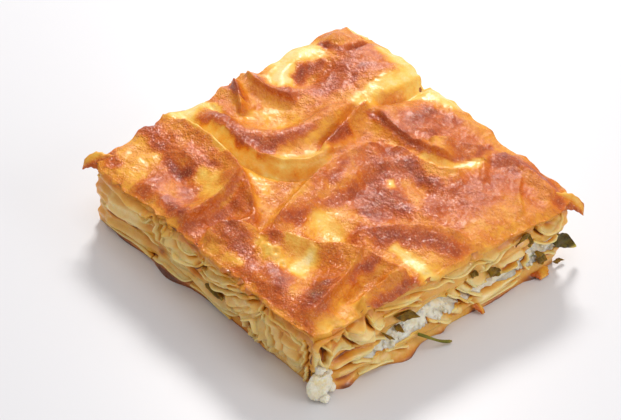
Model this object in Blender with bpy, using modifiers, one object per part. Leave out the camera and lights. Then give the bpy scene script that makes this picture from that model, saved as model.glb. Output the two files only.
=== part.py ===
"""A cut square of spinach and cheese pie: soft folded pastry round a filling, under a wrinkled crust."""
import math
from typing import NamedTuple

import bmesh
import bpy
import numpy as np
from mathutils import Vector, noise

# All sizes are in millimetres; MM turns them into metres where a mesh is made
MM = 0.001
GAP = 0.35

# The square's corners at the cut base and at the crust: front left, front right, back right, back left
BASE_CORNERS = ((-58.0, -57.0), (54.0, -51.0), (58.0, 53.0), (-58.5, 57.5))
CRUST_CORNERS = ((-58.0, -56.5), (54.5, -53.0), (58.8, 56.5), (-62.0, 61.0))
CORNER_HEIGHTS = (27.0, 28.0, 27.8, 33.5)
RIM_LEVEL = 28.0
SIDE_FADE = 0.11
RIM_DROP = 1.3
RIM_ROUND = 2.2

# How the three layers share the height
BED_HEIGHT = 7.6
BED_WAVE = 0.65
CHEESE_DEPTH = 8.0
CHEESE_WAVE = 1.4
CHEESE_FRONT_EDGE = -42.0
CHEESE_RAMP = (-50.0, -24.0)

# Mesh density, and the triangles that each layer keeps
BLOCK_CUTS = (118, 114)
LAYER_ROWS = {"pastry_top": 16, "cheese_filling": 7, "pastry_base": 8}
LAYER_TRIANGLES = {"pastry_top": 6900, "cheese_filling": 1400, "pastry_base": 2200}

# Curd at the front corner
CURD_CENTRE = (55.6, -50.4, 5.6)
CURD_RADII = (3.3, 4.6, 6.0)
CURD_ROUGHNESS = 0.35

LEAF_THICKNESS = 0.5
LEAF_CLEARANCE = 0.7
LEAF_RIPPLE = 0.12
FLAKE_THICKNESS = 1.2
STEM_RADIUS = 0.55


class Fold(NamedTuple):
    """A ridge, or a crease where the rise is negative, along a path, with its widths to left and right."""
    path: tuple
    rise: float
    left: float
    right: float


class Swell(NamedTuple):
    """A rounded bump or hollow, with its two radii and its turn in radians."""
    u: float
    v: float
    rise: float
    long: float
    short: float
    turn: float = 0.0


class FlakeSpec(NamedTuple):
    """A flake of crust: its mid line, the direction across it, its width, its point and its waviness."""
    path: tuple
    across: tuple
    width: float
    point: float
    ripple: float


CRUST_FOLDS = (
    # Front left sheet: its folded back edge, its right lip, and the small tucked corner beside it
    Fold(((-57, -24), (-38, -20), (-16, -21), (1, -33)), 3.0, 1.5, 8.0),
    Fold(((-16, -25), (-11, -35), (-10, -55)), 2.4, 1.3, 6.0),
    Fold(((0, -32), (7, -38), (-4, -48)), 2.0, 2.0, 1.5),
    # Back left sheet: the long bowed crest, the plump roll before it, and the crease that closes it
    Fold(((-57, -12), (-26, -20), (-16, 0), (-25, 32)), 4.5, 6.5, 6.5),
    Fold(((-46, -17), (-10, -18), (-5, -4), (-8, 9)), 2.0, 2.6, 2.6),
    Fold(((-58, -20), (-30, -17), (-3, -24), (-3, 4)), -2.6, 2.0, 2.2),
    Fold(((-22, 32), (-17, 20), (-12, 4)), -1.6, 1.6, 1.8),
    # Thin pleat between the back left sheet and the big middle one
    Fold(((-20, 35), (-15, 18), (-9, 2)), 2.8, 2.6, 1.2),
    # Big middle sheet: its left crest and its far edge
    Fold(((13, -39), (1, -12), (-7, 8), (3, 24)), 3.6, 2.4, 11.0),
    Fold(((3, 24), (15, 29), (24, 24), (28, 36)), 2.0, 2.0, 8.0),
    # Back right sheet: its front slope and the two small lips on it
    Fold(((-17, 34), (0, 29), (14, 30), (22, 39)), 2.4, 9.0, 2.6),
    Fold(((10, 35), (13, 43), (27, 51)), 1.6, 1.4, 5.0),
    Fold(((4, 38), (8, 44), (12, 40)), 1.0, 1.2, 1.2),
    # Right-hand sheets: the bowed crest and the long edge that runs to the front corner
    Fold(((29, -19), (33, 0), (54, 14)), 2.8, 1.8, 8.0),
    Fold(((10, -38), (27, -28), (38, -16), (57, -14)), 2.4, 1.5, 6.0),
    Fold(((38, -18), (46, -32), (50, -52)), 2.4, 2.6, 6.0),
    Fold(((54, -14), (50, -25), (55, -37)), 2.6, 4.0, 1.4),
    Fold(((11, -37), (-5, -46), (1, -54)), 2.2, 6.0, 1.4),
    # Far right corner
    Fold(((26, 52), (44, 57), (57, 50)), 1.6, 2.4, 4.0),
    Fold(((26, 48), (32, 42), (36, 36)), 0.9, 1.3, 1.3),
    Fold(((42, 50), (46, 42), (56, 36)), 0.8, 1.2, 2.0),
    # Far left corner: the pale round edge, the deep crease, and curls along the left side
    Fold(((-18, 62), (-13, 48), (-20, 36)), -3.6, 2.6, 2.4),
    Fold(((-55, 38), (-60, 18), (-44, 14), (-40, 24)), 1.4, 2.4, 2.6),
    Fold(((-61, 4), (-54, 2), (-45, -4)), 2.4, 3.0, 1.4),
    Fold(((-61, 10), (-52, 9), (-38, 17)), 1.8, 3.0, 3.0),
    Fold(((-58, -9), (-50, -10), (-43, -7)), -1.6, 1.4, 1.4),
    Fold(((-48, 60), (-47, 54), (-48, 48)), -1.6, 0.9, 0.9),
)

CRUST_SWELLS = (
    # Front left sheet
    Swell(-37, -33, 2.6, 6.5, 5.0), Swell(-31, -40, -2.0, 4.5, 3.5), Swell(-51, -33, 1.2, 7, 5),
    Swell(-20, -40, -1.2, 7, 6), Swell(-31, -51, 1.3, 6, 4), Swell(-16, -53, 1.6, 6, 3),
    Swell(-5, -43, -2.2, 3.5, 8),
    # Back left bowl and the valleys round the middle sheet
    Swell(-36, 5, -3.0, 12, 10, 0.6), Swell(-40, 2, 1.0, 4, 3), Swell(-9, 13, 1.2, 3.5, 5),
    Swell(-8, 22, -1.6, 4, 7), Swell(-1, -22, -1.2, 5, 10, 0.3),
    # Middle sheet
    Swell(25, 19, -1.5, 7, 2.8), Swell(13, 4, -1.3, 3, 7, 0.5), Swell(30, 2, -1.3, 6, 4, 0.6),
    Swell(14, -20, -0.9, 3, 13), Swell(20, 9, 1.1, 4, 3), Swell(35, 13, 1.3, 4, 5),
    Swell(8, 0, 1.6, 2.6, 7), Swell(23, -20, -1.9, 8, 6, 0.5), Swell(10, 17, 1.2, 6, 5),
    # Back right and front right sheets
    Swell(-3, 42, 3.0, 15, 9, 0.3), Swell(44, 32, 1.2, 15, 13), Swell(29, -34, -2.3, 6, 5),
    Swell(20, -40, 0.8, 2.2, 1.8), Swell(6, -46, 1.3, 4, 5), Swell(31, -47, 1.4, 7, 4),
    Swell(45, -42, 1.0, 5, 6), Swell(49, -30, -1.8, 2.4, 12, 0.12),
    # Far left corner
    Swell(-42, 49, 3.6, 18, 14), Swell(-46, 30, -3.0, 4, 8), Swell(-56, 52, 1.8, 6, 5),
    Swell(-56, 45, -1.4, 4.5, 2.4), Swell(-27, 51, 1.8, 8, 14), Swell(-3, 57, 1.4, 12, 5),
    # Lumps along the left rim
    Swell(-60, -35, 1.8, 5, 4.5), Swell(-60, -24, 2.0, 6, 4.5), Swell(-61, 0, 1.6, 5, 4),
    Swell(-61, 10, 2.4, 6, 4.5), Swell(-61, 22, 0.8, 4, 4), Swell(-61, 34, 1.6, 5, 7),
)

# Side relief, in distance along the side and height; a rise stands out of the side
FRONT_FOLDS = (
    Fold(((-58, 21), (-50, 20), (-44, 25), (-27, 17)), -1.8, 0.7, 1.6),
    Fold(((-58, 22), (-50, 21), (-44, 26), (-27, 18)), 1.2, 1.6, 0.5),
    Fold(((-28, 22), (-23, 27), (-21, 14)), 1.2, 1.2, 1.2),
    Fold(((-18, 25), (-19, 17), (-14, 14)), -2.4, 2.0, 2.4),
    Fold(((-15.5, 26), (-16, 18), (-12, 12), (1, 18)), 2.0, 2.2, 0.7),
    Fold(((-48, 12), (-40, 9), (-33, 13), (-25, 10)), -0.9, 0.8, 0.8),
    Fold(((1, 12.5), (12, 14), (20, 21), (31, 26)), -1.5, 0.8, 0.8),
    Fold(((0, 14), (12, 17), (20, 23), (29, 28)), 1.2, 0.8, 0.8),
    Fold(((-2, 17), (8, 18), (15, 23), (22, 27)), -1.1, 0.9, 0.9),
    Fold(((10, 8), (16, 11), (25, 16), (31, 23)), 1.0, 2.2, 1.6),
    Fold(((22, 7), (27, 20), (36, 13), (29, 4)), 2.0, 1.0, 1.4),
    Fold(((22, 1), (23, 6), (26, 9)), 1.6, 1.2, 1.6),
    Fold(((34, 2), (36, 9), (33, 16)), 1.2, 1.4, 2.4),
    Fold(((45, 2), (48, 9), (50, 18)), -1.1, 1.0, 1.4),
)

FRONT_SWELLS = (
    Swell(-2, 0, -2.4, 34, 14), Swell(40, 3, -1.8, 16, 12), Swell(-45, 13, 1.2, 8, 4),
    Swell(-50, 6, 1.0, 6, 4), Swell(19.5, 5, -3.0, 3.4, 3.0, 0.5), Swell(28, 10, -2.2, 2.4, 3.0),
    Swell(6, 10, -0.9, 4.5, 2.6), Swell(29, 2, 1.2, 3.0, 3.0), Swell(42, 11, 1.0, 7, 7),
    Swell(42, 21, -0.9, 2.4, 1.4), Swell(8, 19.5, -1.0, 2.8, 1.6, 0.3),
)

RIGHT_FOLDS = (
    Fold(((-53, 15), (-57, 25), (-49, 29), (-47, 17)), 1.3, 1.1, 1.1),
    Fold(((-51, 14), (-47, 12), (-47, 21), (-51, 22)), 1.2, 0.9, 0.9),
    Fold(((-42, 24), (-38, 14), (-32, 13), (-24, 11)), -1.4, 1.6, 0.7),
    Fold(((-48, 12), (-43, 17), (-37, 13)), -1.1, 0.8, 1.8),
    Fold(((-30, 24), (-23, 23), (-10, 18)), -1.2, 0.8, 0.8),
    Fold(((-29, 22.5), (-22, 21), (-12, 17.5)), 1.0, 0.8, 1.6),
    Fold(((3, 13), (8, 7), (13, 5)), -1.0, 0.8, 0.8),
    Fold(((6, 14), (11, 9), (15, 8)), -1.0, 0.8, 0.8),
    Fold(((15, 21), (22, 15), (34, 12)), -0.9, 1.0, 1.0),
    Fold(((42, 19), (45, 13), (52, 17)), 1.1, 1.4, 1.0),
)

RIGHT_SWELLS = (
    Swell(-20, 2, 2.6, 26, 10), Swell(20, 3, 1.0, 22, 8), Swell(-33, 19, 1.8, 6.5, 5.5),
    Swell(-49, 18, -1.2, 1.6, 3.6), Swell(-42, 19, -1.4, 3.0, 2.6), Swell(-10, 9, 0.9, 8, 5),
    Swell(26, 16, 1.1, 7, 4), Swell(34, 20, 1.0, 3.4, 3.4), Swell(47, 21.5, -1.4, 2.6, 1.8),
    Swell(45, 12, 0.9, 5, 4),
)

# Browned crust of the base that spreads out past the cut, as tongues lying at the foot of the sides
FOOT_FRONT = (Swell(-18, 0, 3.2, 9, 2.4), Swell(-42, 0, 1.0, 9, 1.4))
FOOT_RIGHT = (Swell(-41, 0, 2.4, 4, 1.8), Swell(-18, 0, 3.2, 6, 1.5), Swell(-1, 0, 1.2, 2.4, 1.4),
              Swell(24, 0, 1.2, 9, 1.3), Swell(44, 0, 2.4, 6, 2.0))

# Lumps of crust that stand out at the rim of each side, in distance along it and height
RIM_SWELLS = (
    (Swell(-38, 27, 1.0, 6, 2), Swell(-12, 28, 1.2, 6, 2), Swell(6, 29, 1.0, 5, 2),
     Swell(36, 29, 0.8, 9, 2)),
    (Swell(-26, 27, 0.8, 8, 2), Swell(4, 26, 0.6, 9, 2), Swell(40, 27, 0.9, 10, 2.5)),
    (Swell(-34, 33, 3.0, 10, 5), Swell(-2, 31, 2.6, 9, 4), Swell(15, 30, 2.0, 6, 4),
     Swell(35, 29, 2.2, 7, 4), Swell(51, 28, 1.4, 6, 4)),
    (Swell(-35, 28, 1.6, 4, 4), Swell(-24, 29, 2.2, 5, 4), Swell(0, 31, 1.4, 4, 4),
     Swell(10, 32, 2.4, 4, 4), Swell(22, 32, 0.8, 3, 4), Swell(34, 33, 1.6, 6, 4),
     Swell(50, 34, 1.2, 5, 4)),
)

# Loose flakes of crust at the rim, each height measured from the crust's own: a root inside and a free tip
CRUST_FLAKES = (
    FlakeSpec(((52, 49, -1.4), (58, 56, -0.3), (61.5, 60, -6.2)), (0.74, -0.67, 0.1), 7.0, 0.5, 0.5),
    FlakeSpec(((-52, -50, -1.3), (-58, -56, 0.8), (-62.5, -59, -4.0)), (-0.67, 0.74, 0.1), 6.5, 0.5, 0.5),
)

# Flakes of the browned base at the foot, with their heights from the surface
FOOT_FLAKES = (
    FlakeSpec(((54, 14, 4.0), (59.5, 14.5, 3.0), (61.5, 15.5, 0.75)), (0.0, 1.0, 0.1), 3.0, 0.6, 0.2),
    FlakeSpec(((53, 44, 1.6), (59, 44.5, 1.7), (62.0, 45, 0.8)), (0.0, 1.0, 0.0), 9.0, 0.4, 0.1),
)


class LeafSpec(NamedTuple):
    """A leaf pressed against the cut: its mid line, in distance along the side and height, and its lifts."""
    side: int
    line: tuple
    width: float
    point: float
    lifts: tuple


LEAVES = {
    "leaf_long": LeafSpec(1, ((-22, 18.6), (-17.5, 16.6), (-12, 13.2)), 3.4, 0.9, (0, 0, 0.3)),
    "leaf_small": LeafSpec(1, ((-21, 13.8), (-20, 12.6), (-18.8, 10.8)), 2.0, 0.8, (0, 0, 0)),
    "leaf_thin": LeafSpec(1, ((-25.8, 12.8), (-24, 11), (-22, 9)), 0.9, 0.5, (0, 0, 0)),
    "leaf_dark": LeafSpec(1, ((10.8, 18.6), (12.2, 17.6), (13.4, 16.4)), 2.4, 0.6, (0, 0, 0)),
    "leaf_broad": LeafSpec(1, ((18.8, 16.2), (21.5, 13.2), (24.6, 10.9)), 3.6, 0.8, (0, 0.2, 0)),
    "leaf_curled": LeafSpec(1, ((30.2, 20.4), (31.5, 25.4), (37.5, 24.0), (37.6, 16.2)), 1.5, 0.5,
                            (0, 0.4, 0.4, 0)),
    "leaf_back": LeafSpec(1, ((41.2, 12.2), (44, 9), (46.4, 3.8)), 3.6, 0.8, (0, 0.5, 0)),
    "leaf_corner": LeafSpec(1, ((48.8, 15.4), (52.5, 12.0), (61.0, 5.0)), 5.0, 0.9, (0, 0.3, 1.4)),
    "leaf_foot": LeafSpec(1, ((51.6, 2.0), (53.8, 1.7), (56.4, 1.1)), 1.6, 0.7, (0.4, 0.8, 1.3)),
    "leaf_front": LeafSpec(0, ((2.4, 9.2), (5.8, 9.8), (9.6, 10.2)), 3.8, 0.35, (0, 0, 0)),
}

SPRIG_ROUTE = ((58.9, -12.5, 6.4), (61.8, -9.4, 5.2), (62.8, -6.4, 1.6), (64.2, -2.0, 0.95))


def bezier(points, count):
    """Points along a Bezier curve of any degree."""
    t = np.linspace(0, 1, count)[:, None]
    degree = len(points) - 1
    return sum(math.comb(degree, i) * t**i * (1 - t) ** (degree - i) * np.array(p, float)
               for i, p in enumerate(points))


def smooth(t):
    t = np.clip(t, 0, 1)
    return t * t * (3 - 2 * t)


def fold_rise(fold, u, v, steps=24, fade=0.16):
    """Height that a fold adds at each point: a bell across its path, dying away at both ends."""
    path = bezier(fold.path, steps + 1)
    start, run = path[:-1], np.diff(path, axis=0)
    pu, pv = u[:, None] - start[:, 0], v[:, None] - start[:, 1]
    t = np.clip((pu * run[:, 0] + pv * run[:, 1]) / (run**2).sum(1), 0, 1)
    away = np.hypot(pu - t * run[:, 0], pv - t * run[:, 1])
    near = away.argmin(1)
    rows = np.arange(len(u))
    on_left = run[near, 0] * pv[rows, near] > run[near, 1] * pu[rows, near]
    width = np.where(on_left, fold.left, fold.right)
    along = (near + t[rows, near]) / steps
    ends = 0.25 + 0.75 * smooth(np.minimum(along, 1 - along) / fade)
    return fold.rise * ends * np.exp(-((away[rows, near] / width) ** 2))


def swell_rise(swell, u, v):
    c, s = math.cos(swell.turn), math.sin(swell.turn)
    du, dv = u - swell.u, v - swell.v
    along, across = (c * du + s * dv) / swell.long, (c * dv - s * du) / swell.short
    return swell.rise * np.exp(-(along**2) - across**2)


def relief(folds, swells, u, v):
    total = np.zeros_like(u)
    for fold in folds:
        total += fold_rise(fold, u, v)
    for swell in swells:
        total += swell_rise(swell, u, v)
    return total


def crumple(u, v, w, pitch, seed):
    """Even, repeatable unevenness with features of about the given pitch."""
    return np.array([noise.noise(Vector((a / pitch + seed, b / pitch, c / pitch)))
                     for a, b, c in zip(u, v, w)])


def crust_height(x, y):
    """Top of the wrinkled crust."""
    a, b = (x + 58) / 116, (y + 56) / 114
    plain = (CORNER_HEIGHTS[0] * (1 - a) * (1 - b) + CORNER_HEIGHTS[1] * a * (1 - b)
             + CORNER_HEIGHTS[2] * a * b + CORNER_HEIGHTS[3] * (1 - a) * b)
    return plain + relief(CRUST_FOLDS, CRUST_SWELLS, x, y) + 0.5 * crumple(x, y, 0 * x, 5.0, 3.0)


def bed_height(x, y):
    """Top of the lower pastry layers, which the filling lies on."""
    return BED_HEIGHT + BED_WAVE * (np.sin(0.09 * x + 0.5) + np.sin(0.11 * y + 1.2))


def cheese_opening(x, y):
    """Height of the space between the lower and the upper pastry layers."""
    depth = CHEESE_DEPTH + CHEESE_WAVE * np.sin(0.075 * y - 0.4) + 0.6 * np.sin(0.12 * x)
    ramp = smooth((y - CHEESE_RAMP[0]) / (CHEESE_RAMP[1] - CHEESE_RAMP[0]))
    return GAP + ramp * (depth + GAP)


def side_relief(side, s, z):
    """How far a side stands out at a distance along it and a height; the back and left mirror the others."""
    folds, swells, foot = (FRONT_FOLDS, FRONT_SWELLS, FOOT_FRONT) if side in (0, 3) else (
        RIGHT_FOLDS, RIGHT_SWELLS, FOOT_RIGHT)
    along = s if side in (0, 1) else -s
    out = relief(folds, swells + foot, along, z) + relief((), RIM_SWELLS[side], s, z)
    return out + 0.45 * np.sin(1.5 * z + 2.2 * np.sin(0.09 * along + side)) * smooth(z / 4)


def corners_at(z):
    """The four corners of the square at a height, each as an x array and a y array."""
    t = np.clip(z / RIM_LEVEL, 0, 1.2)
    return [(b[0] + (c[0] - b[0]) * t, b[1] + (c[1] - b[1]) * t)
            for b, c in zip(BASE_CORNERS, CRUST_CORNERS)]


def spread(a, b, z, lip=0.0):
    """Plan position of grid place a, b at a height, with the relief of the sides fading inwards."""
    fl, fr, br, bl = corners_at(z)
    x = fl[0] * (1 - a) * (1 - b) + fr[0] * a * (1 - b) + br[0] * a * b + bl[0] * (1 - a) * b
    y = fl[1] * (1 - a) * (1 - b) + fr[1] * a * (1 - b) + br[1] * a * b + bl[1] * (1 - a) * b
    to_side = (b, 1 - a, 1 - b, a)
    outward = ((0, -1), (1, 0), (0, 1), (-1, 0))
    shift_x, shift_y = np.zeros_like(x), np.zeros_like(y)
    for side, (away, out) in enumerate(zip(to_side, outward)):
        near = away < SIDE_FADE
        s = (x if side in (0, 2) else y)[near]
        t = (a if side in (0, 2) else b)[near]
        ends = smooth(np.minimum(t, 1 - t) / 0.05)
        stand = (side_relief(side, s, z[near]) + (lip[near] if np.ndim(lip) else lip)) * ends
        fade = (1 - away[near] / SIDE_FADE) ** 2
        shift_x[near] += out[0] * stand * fade
        shift_y[near] += out[1] * stand * fade
    return x + shift_x, y + shift_y


def make_room(x, y, z):
    """Press the pastry in where the curd sits at the front corner."""
    inward = np.array((-1.0, 1.0)) / math.sqrt(2)
    rx, ry, rz = (r + GAP + CURD_ROUGHNESS for r in CURD_RADII)
    dx, dy, dz = x - CURD_CENTRE[0], y - CURD_CENTRE[1], z - CURD_CENTRE[2]
    qa = (inward[0] / rx) ** 2 + (inward[1] / ry) ** 2
    qb = dx * inward[0] / rx**2 + dy * inward[1] / ry**2
    qc = (dx / rx) ** 2 + (dy / ry) ** 2 + (dz / rz) ** 2 - 1
    root = qb**2 - qa * qc
    push = np.where(root > 0, (-qb + np.sqrt(np.maximum(root, 0))) / qa, 0)
    push = np.maximum(push, 0)
    return x + inward[0] * push, y + inward[1] * push


def unit_block(cuts_x, cuts_y, cuts_z):
    """A unit cube whose sides are divided into even grids."""
    bm = bmesh.new()
    bmesh.ops.create_cube(bm, size=1.0)
    for axis, cuts in enumerate((cuts_x, cuts_y, cuts_z)):
        along = [e for e in bm.edges if abs((e.verts[0].co - e.verts[1].co)[axis]) > 0.9]
        bmesh.ops.subdivide_edges(bm, edges=along, cuts=cuts - 1, use_grid_fill=True)
    return bm


def plain_material(name, colour, roughness):
    material = bpy.data.materials.new(name)
    material.use_nodes = True
    shader = material.node_tree.nodes["Principled BSDF"]
    shader.inputs["Base Color"].default_value = (*colour, 1)
    shader.inputs["Roughness"].default_value = roughness
    shader.inputs["Metallic"].default_value = 0.0
    return material


def add_object(name, mesh, material, collection):
    obj = bpy.data.objects.new(name, mesh)
    obj.data.materials.append(material)
    collection.objects.link(obj)
    return obj


def layer(name, floor, ceiling, material, collection, first_y=None):
    """One layer of the slice between two height functions, cut to the slice's sides."""
    rows = LAYER_ROWS[name]
    bm = unit_block(*BLOCK_CUTS, rows)
    a, b, c = (np.array([v.co for v in bm.verts]) + 0.5).T
    if first_y is not None:
        edge = (first_y - BASE_CORNERS[0][1]) / (BASE_CORNERS[2][1] - BASE_CORNERS[0][1])
        b = edge + (1 - edge) * b
    x, y = spread(a, b, np.full_like(a, BED_HEIGHT))
    low, high = floor(x, y), ceiling(x, y)
    z = low + c * (high - low)
    lip = np.zeros_like(z)
    if name == "pastry_top":
        ragged = 0.9 + 0.9 * crumple(x, y, z, 4.0, 9.0)
        lip = ragged * np.exp(-(((high - z - 1.2) / 1.3) ** 2))
    x, y = spread(a, b, z, lip)
    x, y = make_room(x, y, z)
    low, high = floor(x, y), ceiling(x, y)
    if name == "pastry_top":
        rim = np.minimum.reduce([a, 1 - a, b, 1 - b]) * 112
        high = high - RIM_DROP * np.exp(-((rim / RIM_ROUND) ** 2))
    z = low + c * (high - low)
    for vert, place in zip(bm.verts, np.column_stack((x, y, z)) * MM):
        vert.co = place
    bmesh.ops.triangulate(bm, faces=bm.faces)
    mesh = bpy.data.meshes.new(name)
    bm.to_mesh(mesh)
    bm.free()
    mesh.shade_smooth()
    obj = add_object(name, mesh, material, collection)
    thin = obj.modifiers.new("Fewer faces", "DECIMATE")
    thin.ratio = LAYER_TRIANGLES[name] / len(mesh.polygons)
    thin.use_collapse_triangulate = True
    return obj


def thin_solid(name, bm, thickness, material, collection):
    """Give an open surface its thickness, with both faces split into triangles alike."""
    bmesh.ops.triangulate(bm, faces=bm.faces)
    mesh = bpy.data.meshes.new(name)
    bm.to_mesh(mesh)
    bm.free()
    mesh.shade_smooth()
    obj = add_object(name, mesh, material, collection)
    wall = obj.modifiers.new("Thickness", "SOLIDIFY")
    wall.thickness = thickness * MM
    wall.offset = 0
    return obj


def flake(name, spec, material, collection, cuts=(8, 4)):
    """A loose flake of crust along its mid line."""
    bm = bmesh.new()
    bmesh.ops.create_grid(bm, x_segments=cuts[0], y_segments=cuts[1], size=0.5)
    middle = bezier(spec.path, 61)
    across = Vector(spec.across).normalized()
    for vert in bm.verts:
        t, v = vert.co.x + 0.5, vert.co.y * 2
        step = min(int(t * 60), 59)
        here = Vector(middle[step]).lerp(Vector(middle[step + 1]), t * 60 - step)
        along = (Vector(middle[step + 1]) - Vector(middle[step])).normalized()
        body = math.sin(math.pi * (0.5 + 0.46 * t)) ** spec.point
        ragged = 1 + 0.16 * math.sin(9.0 * t + 2.0 * v)
        lift = spec.ripple * (0.35 * math.sin(7.0 * t + 1.3 * v) + 0.35 * v * v)
        vert.co = (here + across * (v * spec.width / 2 * body * ragged) + along.cross(across) * lift) * MM
    return thin_solid(name, bm, FLAKE_THICKNESS, material, collection)


def on_side(side, s, z, out):
    """Points that stand off a side, at distances along it and heights."""
    corner, far, axis = (0, 1, 0) if side == 0 else (1, 2, 1)
    start, end = BASE_CORNERS[corner][axis], BASE_CORNERS[far][axis]
    t = np.clip((s - start) / (end - start), 0, 1)
    a, b = (t, 0 * t) if side == 0 else (0 * t + 1, t)
    x, y = spread(a, b, z)
    return (s, y - out, z) if side == 0 else (x + out, s, z)


def leaf(name, spec, material, collection, cuts=(8, 4)):
    """A thin wavy leaf that follows the side it is pressed against, just clear of it."""
    bm = bmesh.new()
    bmesh.ops.create_grid(bm, x_segments=cuts[0], y_segments=cuts[1], size=0.5)
    t, v = np.array([(vert.co.x + 0.5, vert.co.y * 2) for vert in bm.verts]).T
    steps = np.linspace(0, 1, 61)
    line = bezier(spec.line, 61)
    run = np.gradient(line, axis=0)
    run /= np.linalg.norm(run, axis=1)[:, None]
    ragged = 1 + 0.16 * np.sin(9 * t + 2 * v)
    half = spec.width / 2 * np.sin(math.pi * (0.07 + 0.86 * t)) ** spec.point * ragged
    along_side = np.interp(t, steps, line[:, 0]) - np.interp(t, steps, run[:, 1]) * v * half
    height = np.interp(t, steps, line[:, 1]) + np.interp(t, steps, run[:, 0]) * v * half
    lift = np.interp(t, steps, bezier([(rise,) for rise in spec.lifts], 61)[:, 0])
    out = LEAF_CLEARANCE + lift + LEAF_RIPPLE * (1 + np.sin(7 * t + 1.3 * v))
    places = np.column_stack(on_side(spec.side, along_side, height, out))
    for vert, place in zip(bm.verts, places * MM):
        vert.co = place
    return thin_solid(name, bm, LEAF_THICKNESS, material, collection)


def corner_curd(material, collection):
    """The lump of curd at the front corner, flat where it rests."""
    bm = bmesh.new()
    bmesh.ops.create_icosphere(bm, subdivisions=3, radius=1.0)
    for vert in bm.verts:
        rough = 1 + CURD_ROUGHNESS * 0.2 * noise.noise(vert.co * 2.3)
        place = Vector(c + p * r * rough for c, p, r in zip(CURD_CENTRE, vert.co, CURD_RADII))
        place.z = max(place.z, 0)
        vert.co = place * MM
    mesh = bpy.data.meshes.new("corner_curd")
    bm.to_mesh(mesh)
    bm.free()
    mesh.shade_smooth()
    return add_object("corner_curd", mesh, material, collection)


def herb_stem(material, collection):
    """The bent stem that leans out of the filling onto the surface."""
    curve = bpy.data.curves.new("herb_stem", "CURVE")
    curve.dimensions = "3D"
    curve.bevel_depth = STEM_RADIUS * MM
    curve.bevel_resolution = 2
    curve.use_fill_caps = True
    points = bezier(SPRIG_ROUTE, 14)
    spline = curve.splines.new("POLY")
    spline.points.add(len(points) - 1)
    for knot, place in zip(spline.points, points):
        knot.co = (*(place * MM), 1)
    obj = bpy.data.objects.new("herb_stem", curve)
    obj.data.materials.append(material)
    collection.objects.link(obj)
    return obj


def on_crust(spec):
    """A flake whose heights are measured from the crust, turned into true heights."""
    x, y, rise = np.array(spec.path, float).T
    return spec._replace(path=tuple(zip(x, y, crust_height(x, y) + rise)))


def join_flakes(host, specs, material, collection):
    """Fuse loose flakes of crust onto a layer."""
    for i, spec in enumerate(specs):
        piece = flake(f"flake_{host.name}_{i}", spec, material, collection)
        piece.hide_render = True
        piece.display_type = "WIRE"
        union = host.modifiers.new(f"Flake {i}", "BOOLEAN")
        union.operation = "UNION"
        union.solver = "EXACT"
        union.object = piece


def clear_scene():
    for obj in list(bpy.data.objects):
        bpy.data.objects.remove(obj)


def main():
    clear_scene()
    pie = bpy.data.collections.new("spinach_pie_square")
    helpers = bpy.data.collections.new("flakes")
    for collection in (pie, helpers):
        bpy.context.scene.collection.children.link(collection)
    browned = plain_material("browned_crust", (0.62, 0.27, 0.06), 0.35)
    dough = plain_material("soft_pastry", (0.80, 0.62, 0.30), 0.45)
    cheese = plain_material("white_cheese", (0.83, 0.80, 0.66), 0.6)
    green = plain_material("cooked_leaf", (0.09, 0.08, 0.015), 0.4)

    def table(x, _):
        return np.zeros_like(x)

    def cheese_floor(x, y):
        return bed_height(x, y) + GAP

    def cheese_ceiling(x, y):
        return bed_height(x, y) + cheese_opening(x, y) - GAP

    def upper_floor(x, y):
        return bed_height(x, y) + cheese_opening(x, y)

    base = layer("pastry_base", table, bed_height, dough, pie)
    layer("cheese_filling", cheese_floor, cheese_ceiling, cheese, pie, CHEESE_FRONT_EDGE)
    top = layer("pastry_top", upper_floor, crust_height, browned, pie)
    join_flakes(top, [on_crust(spec) for spec in CRUST_FLAKES], browned, helpers)
    join_flakes(base, FOOT_FLAKES, browned, helpers)
    corner_curd(cheese, pie)
    herb_stem(green, pie)
    for name, spec in LEAVES.items():
        leaf(name, spec, green, pie)


main()
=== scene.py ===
import math
from itertools import product
from typing import NamedTuple

import bmesh
import bpy
import numpy as np
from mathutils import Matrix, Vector, noise


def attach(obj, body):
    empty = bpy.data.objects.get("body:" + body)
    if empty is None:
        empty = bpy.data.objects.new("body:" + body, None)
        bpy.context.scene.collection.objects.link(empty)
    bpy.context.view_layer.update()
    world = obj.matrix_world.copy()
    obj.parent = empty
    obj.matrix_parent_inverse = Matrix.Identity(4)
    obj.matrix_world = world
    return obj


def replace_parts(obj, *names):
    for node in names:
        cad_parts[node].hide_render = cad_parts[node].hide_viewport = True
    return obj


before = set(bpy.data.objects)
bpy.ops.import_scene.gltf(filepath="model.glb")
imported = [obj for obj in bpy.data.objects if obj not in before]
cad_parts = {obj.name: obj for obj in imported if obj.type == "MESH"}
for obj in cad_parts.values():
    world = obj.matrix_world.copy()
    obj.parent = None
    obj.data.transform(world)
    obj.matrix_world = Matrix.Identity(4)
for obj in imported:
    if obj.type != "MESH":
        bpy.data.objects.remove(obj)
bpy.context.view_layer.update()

# Shapes are worked out in millimetres; MM turns them into metres where a mesh is made
MM = 0.001

# The slice's corners at the cut base and at the crust: front left, front right, back right, back left
BASE_CORNERS = ((-58.0, -57.0), (54.0, -51.0), (58.0, 53.0), (-58.5, 57.5))
CRUST_CORNERS = ((-58.0, -56.5), (54.5, -53.0), (58.8, 56.5), (-62.0, 61.0))
CORNER_HEIGHTS = (27.0, 28.0, 27.8, 33.5)
RIM_LEVEL = 28.0

# The plan that the crust's heights are spread over, and the unevenness that it shares with the solids
CRUST_START = (-58, -56)
CRUST_SPAN = (116, 114)
CRUMPLE_RISE = 0.5
CRUMPLE_PITCH = 5.0
CRUMPLE_SEED = 3.0

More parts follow.
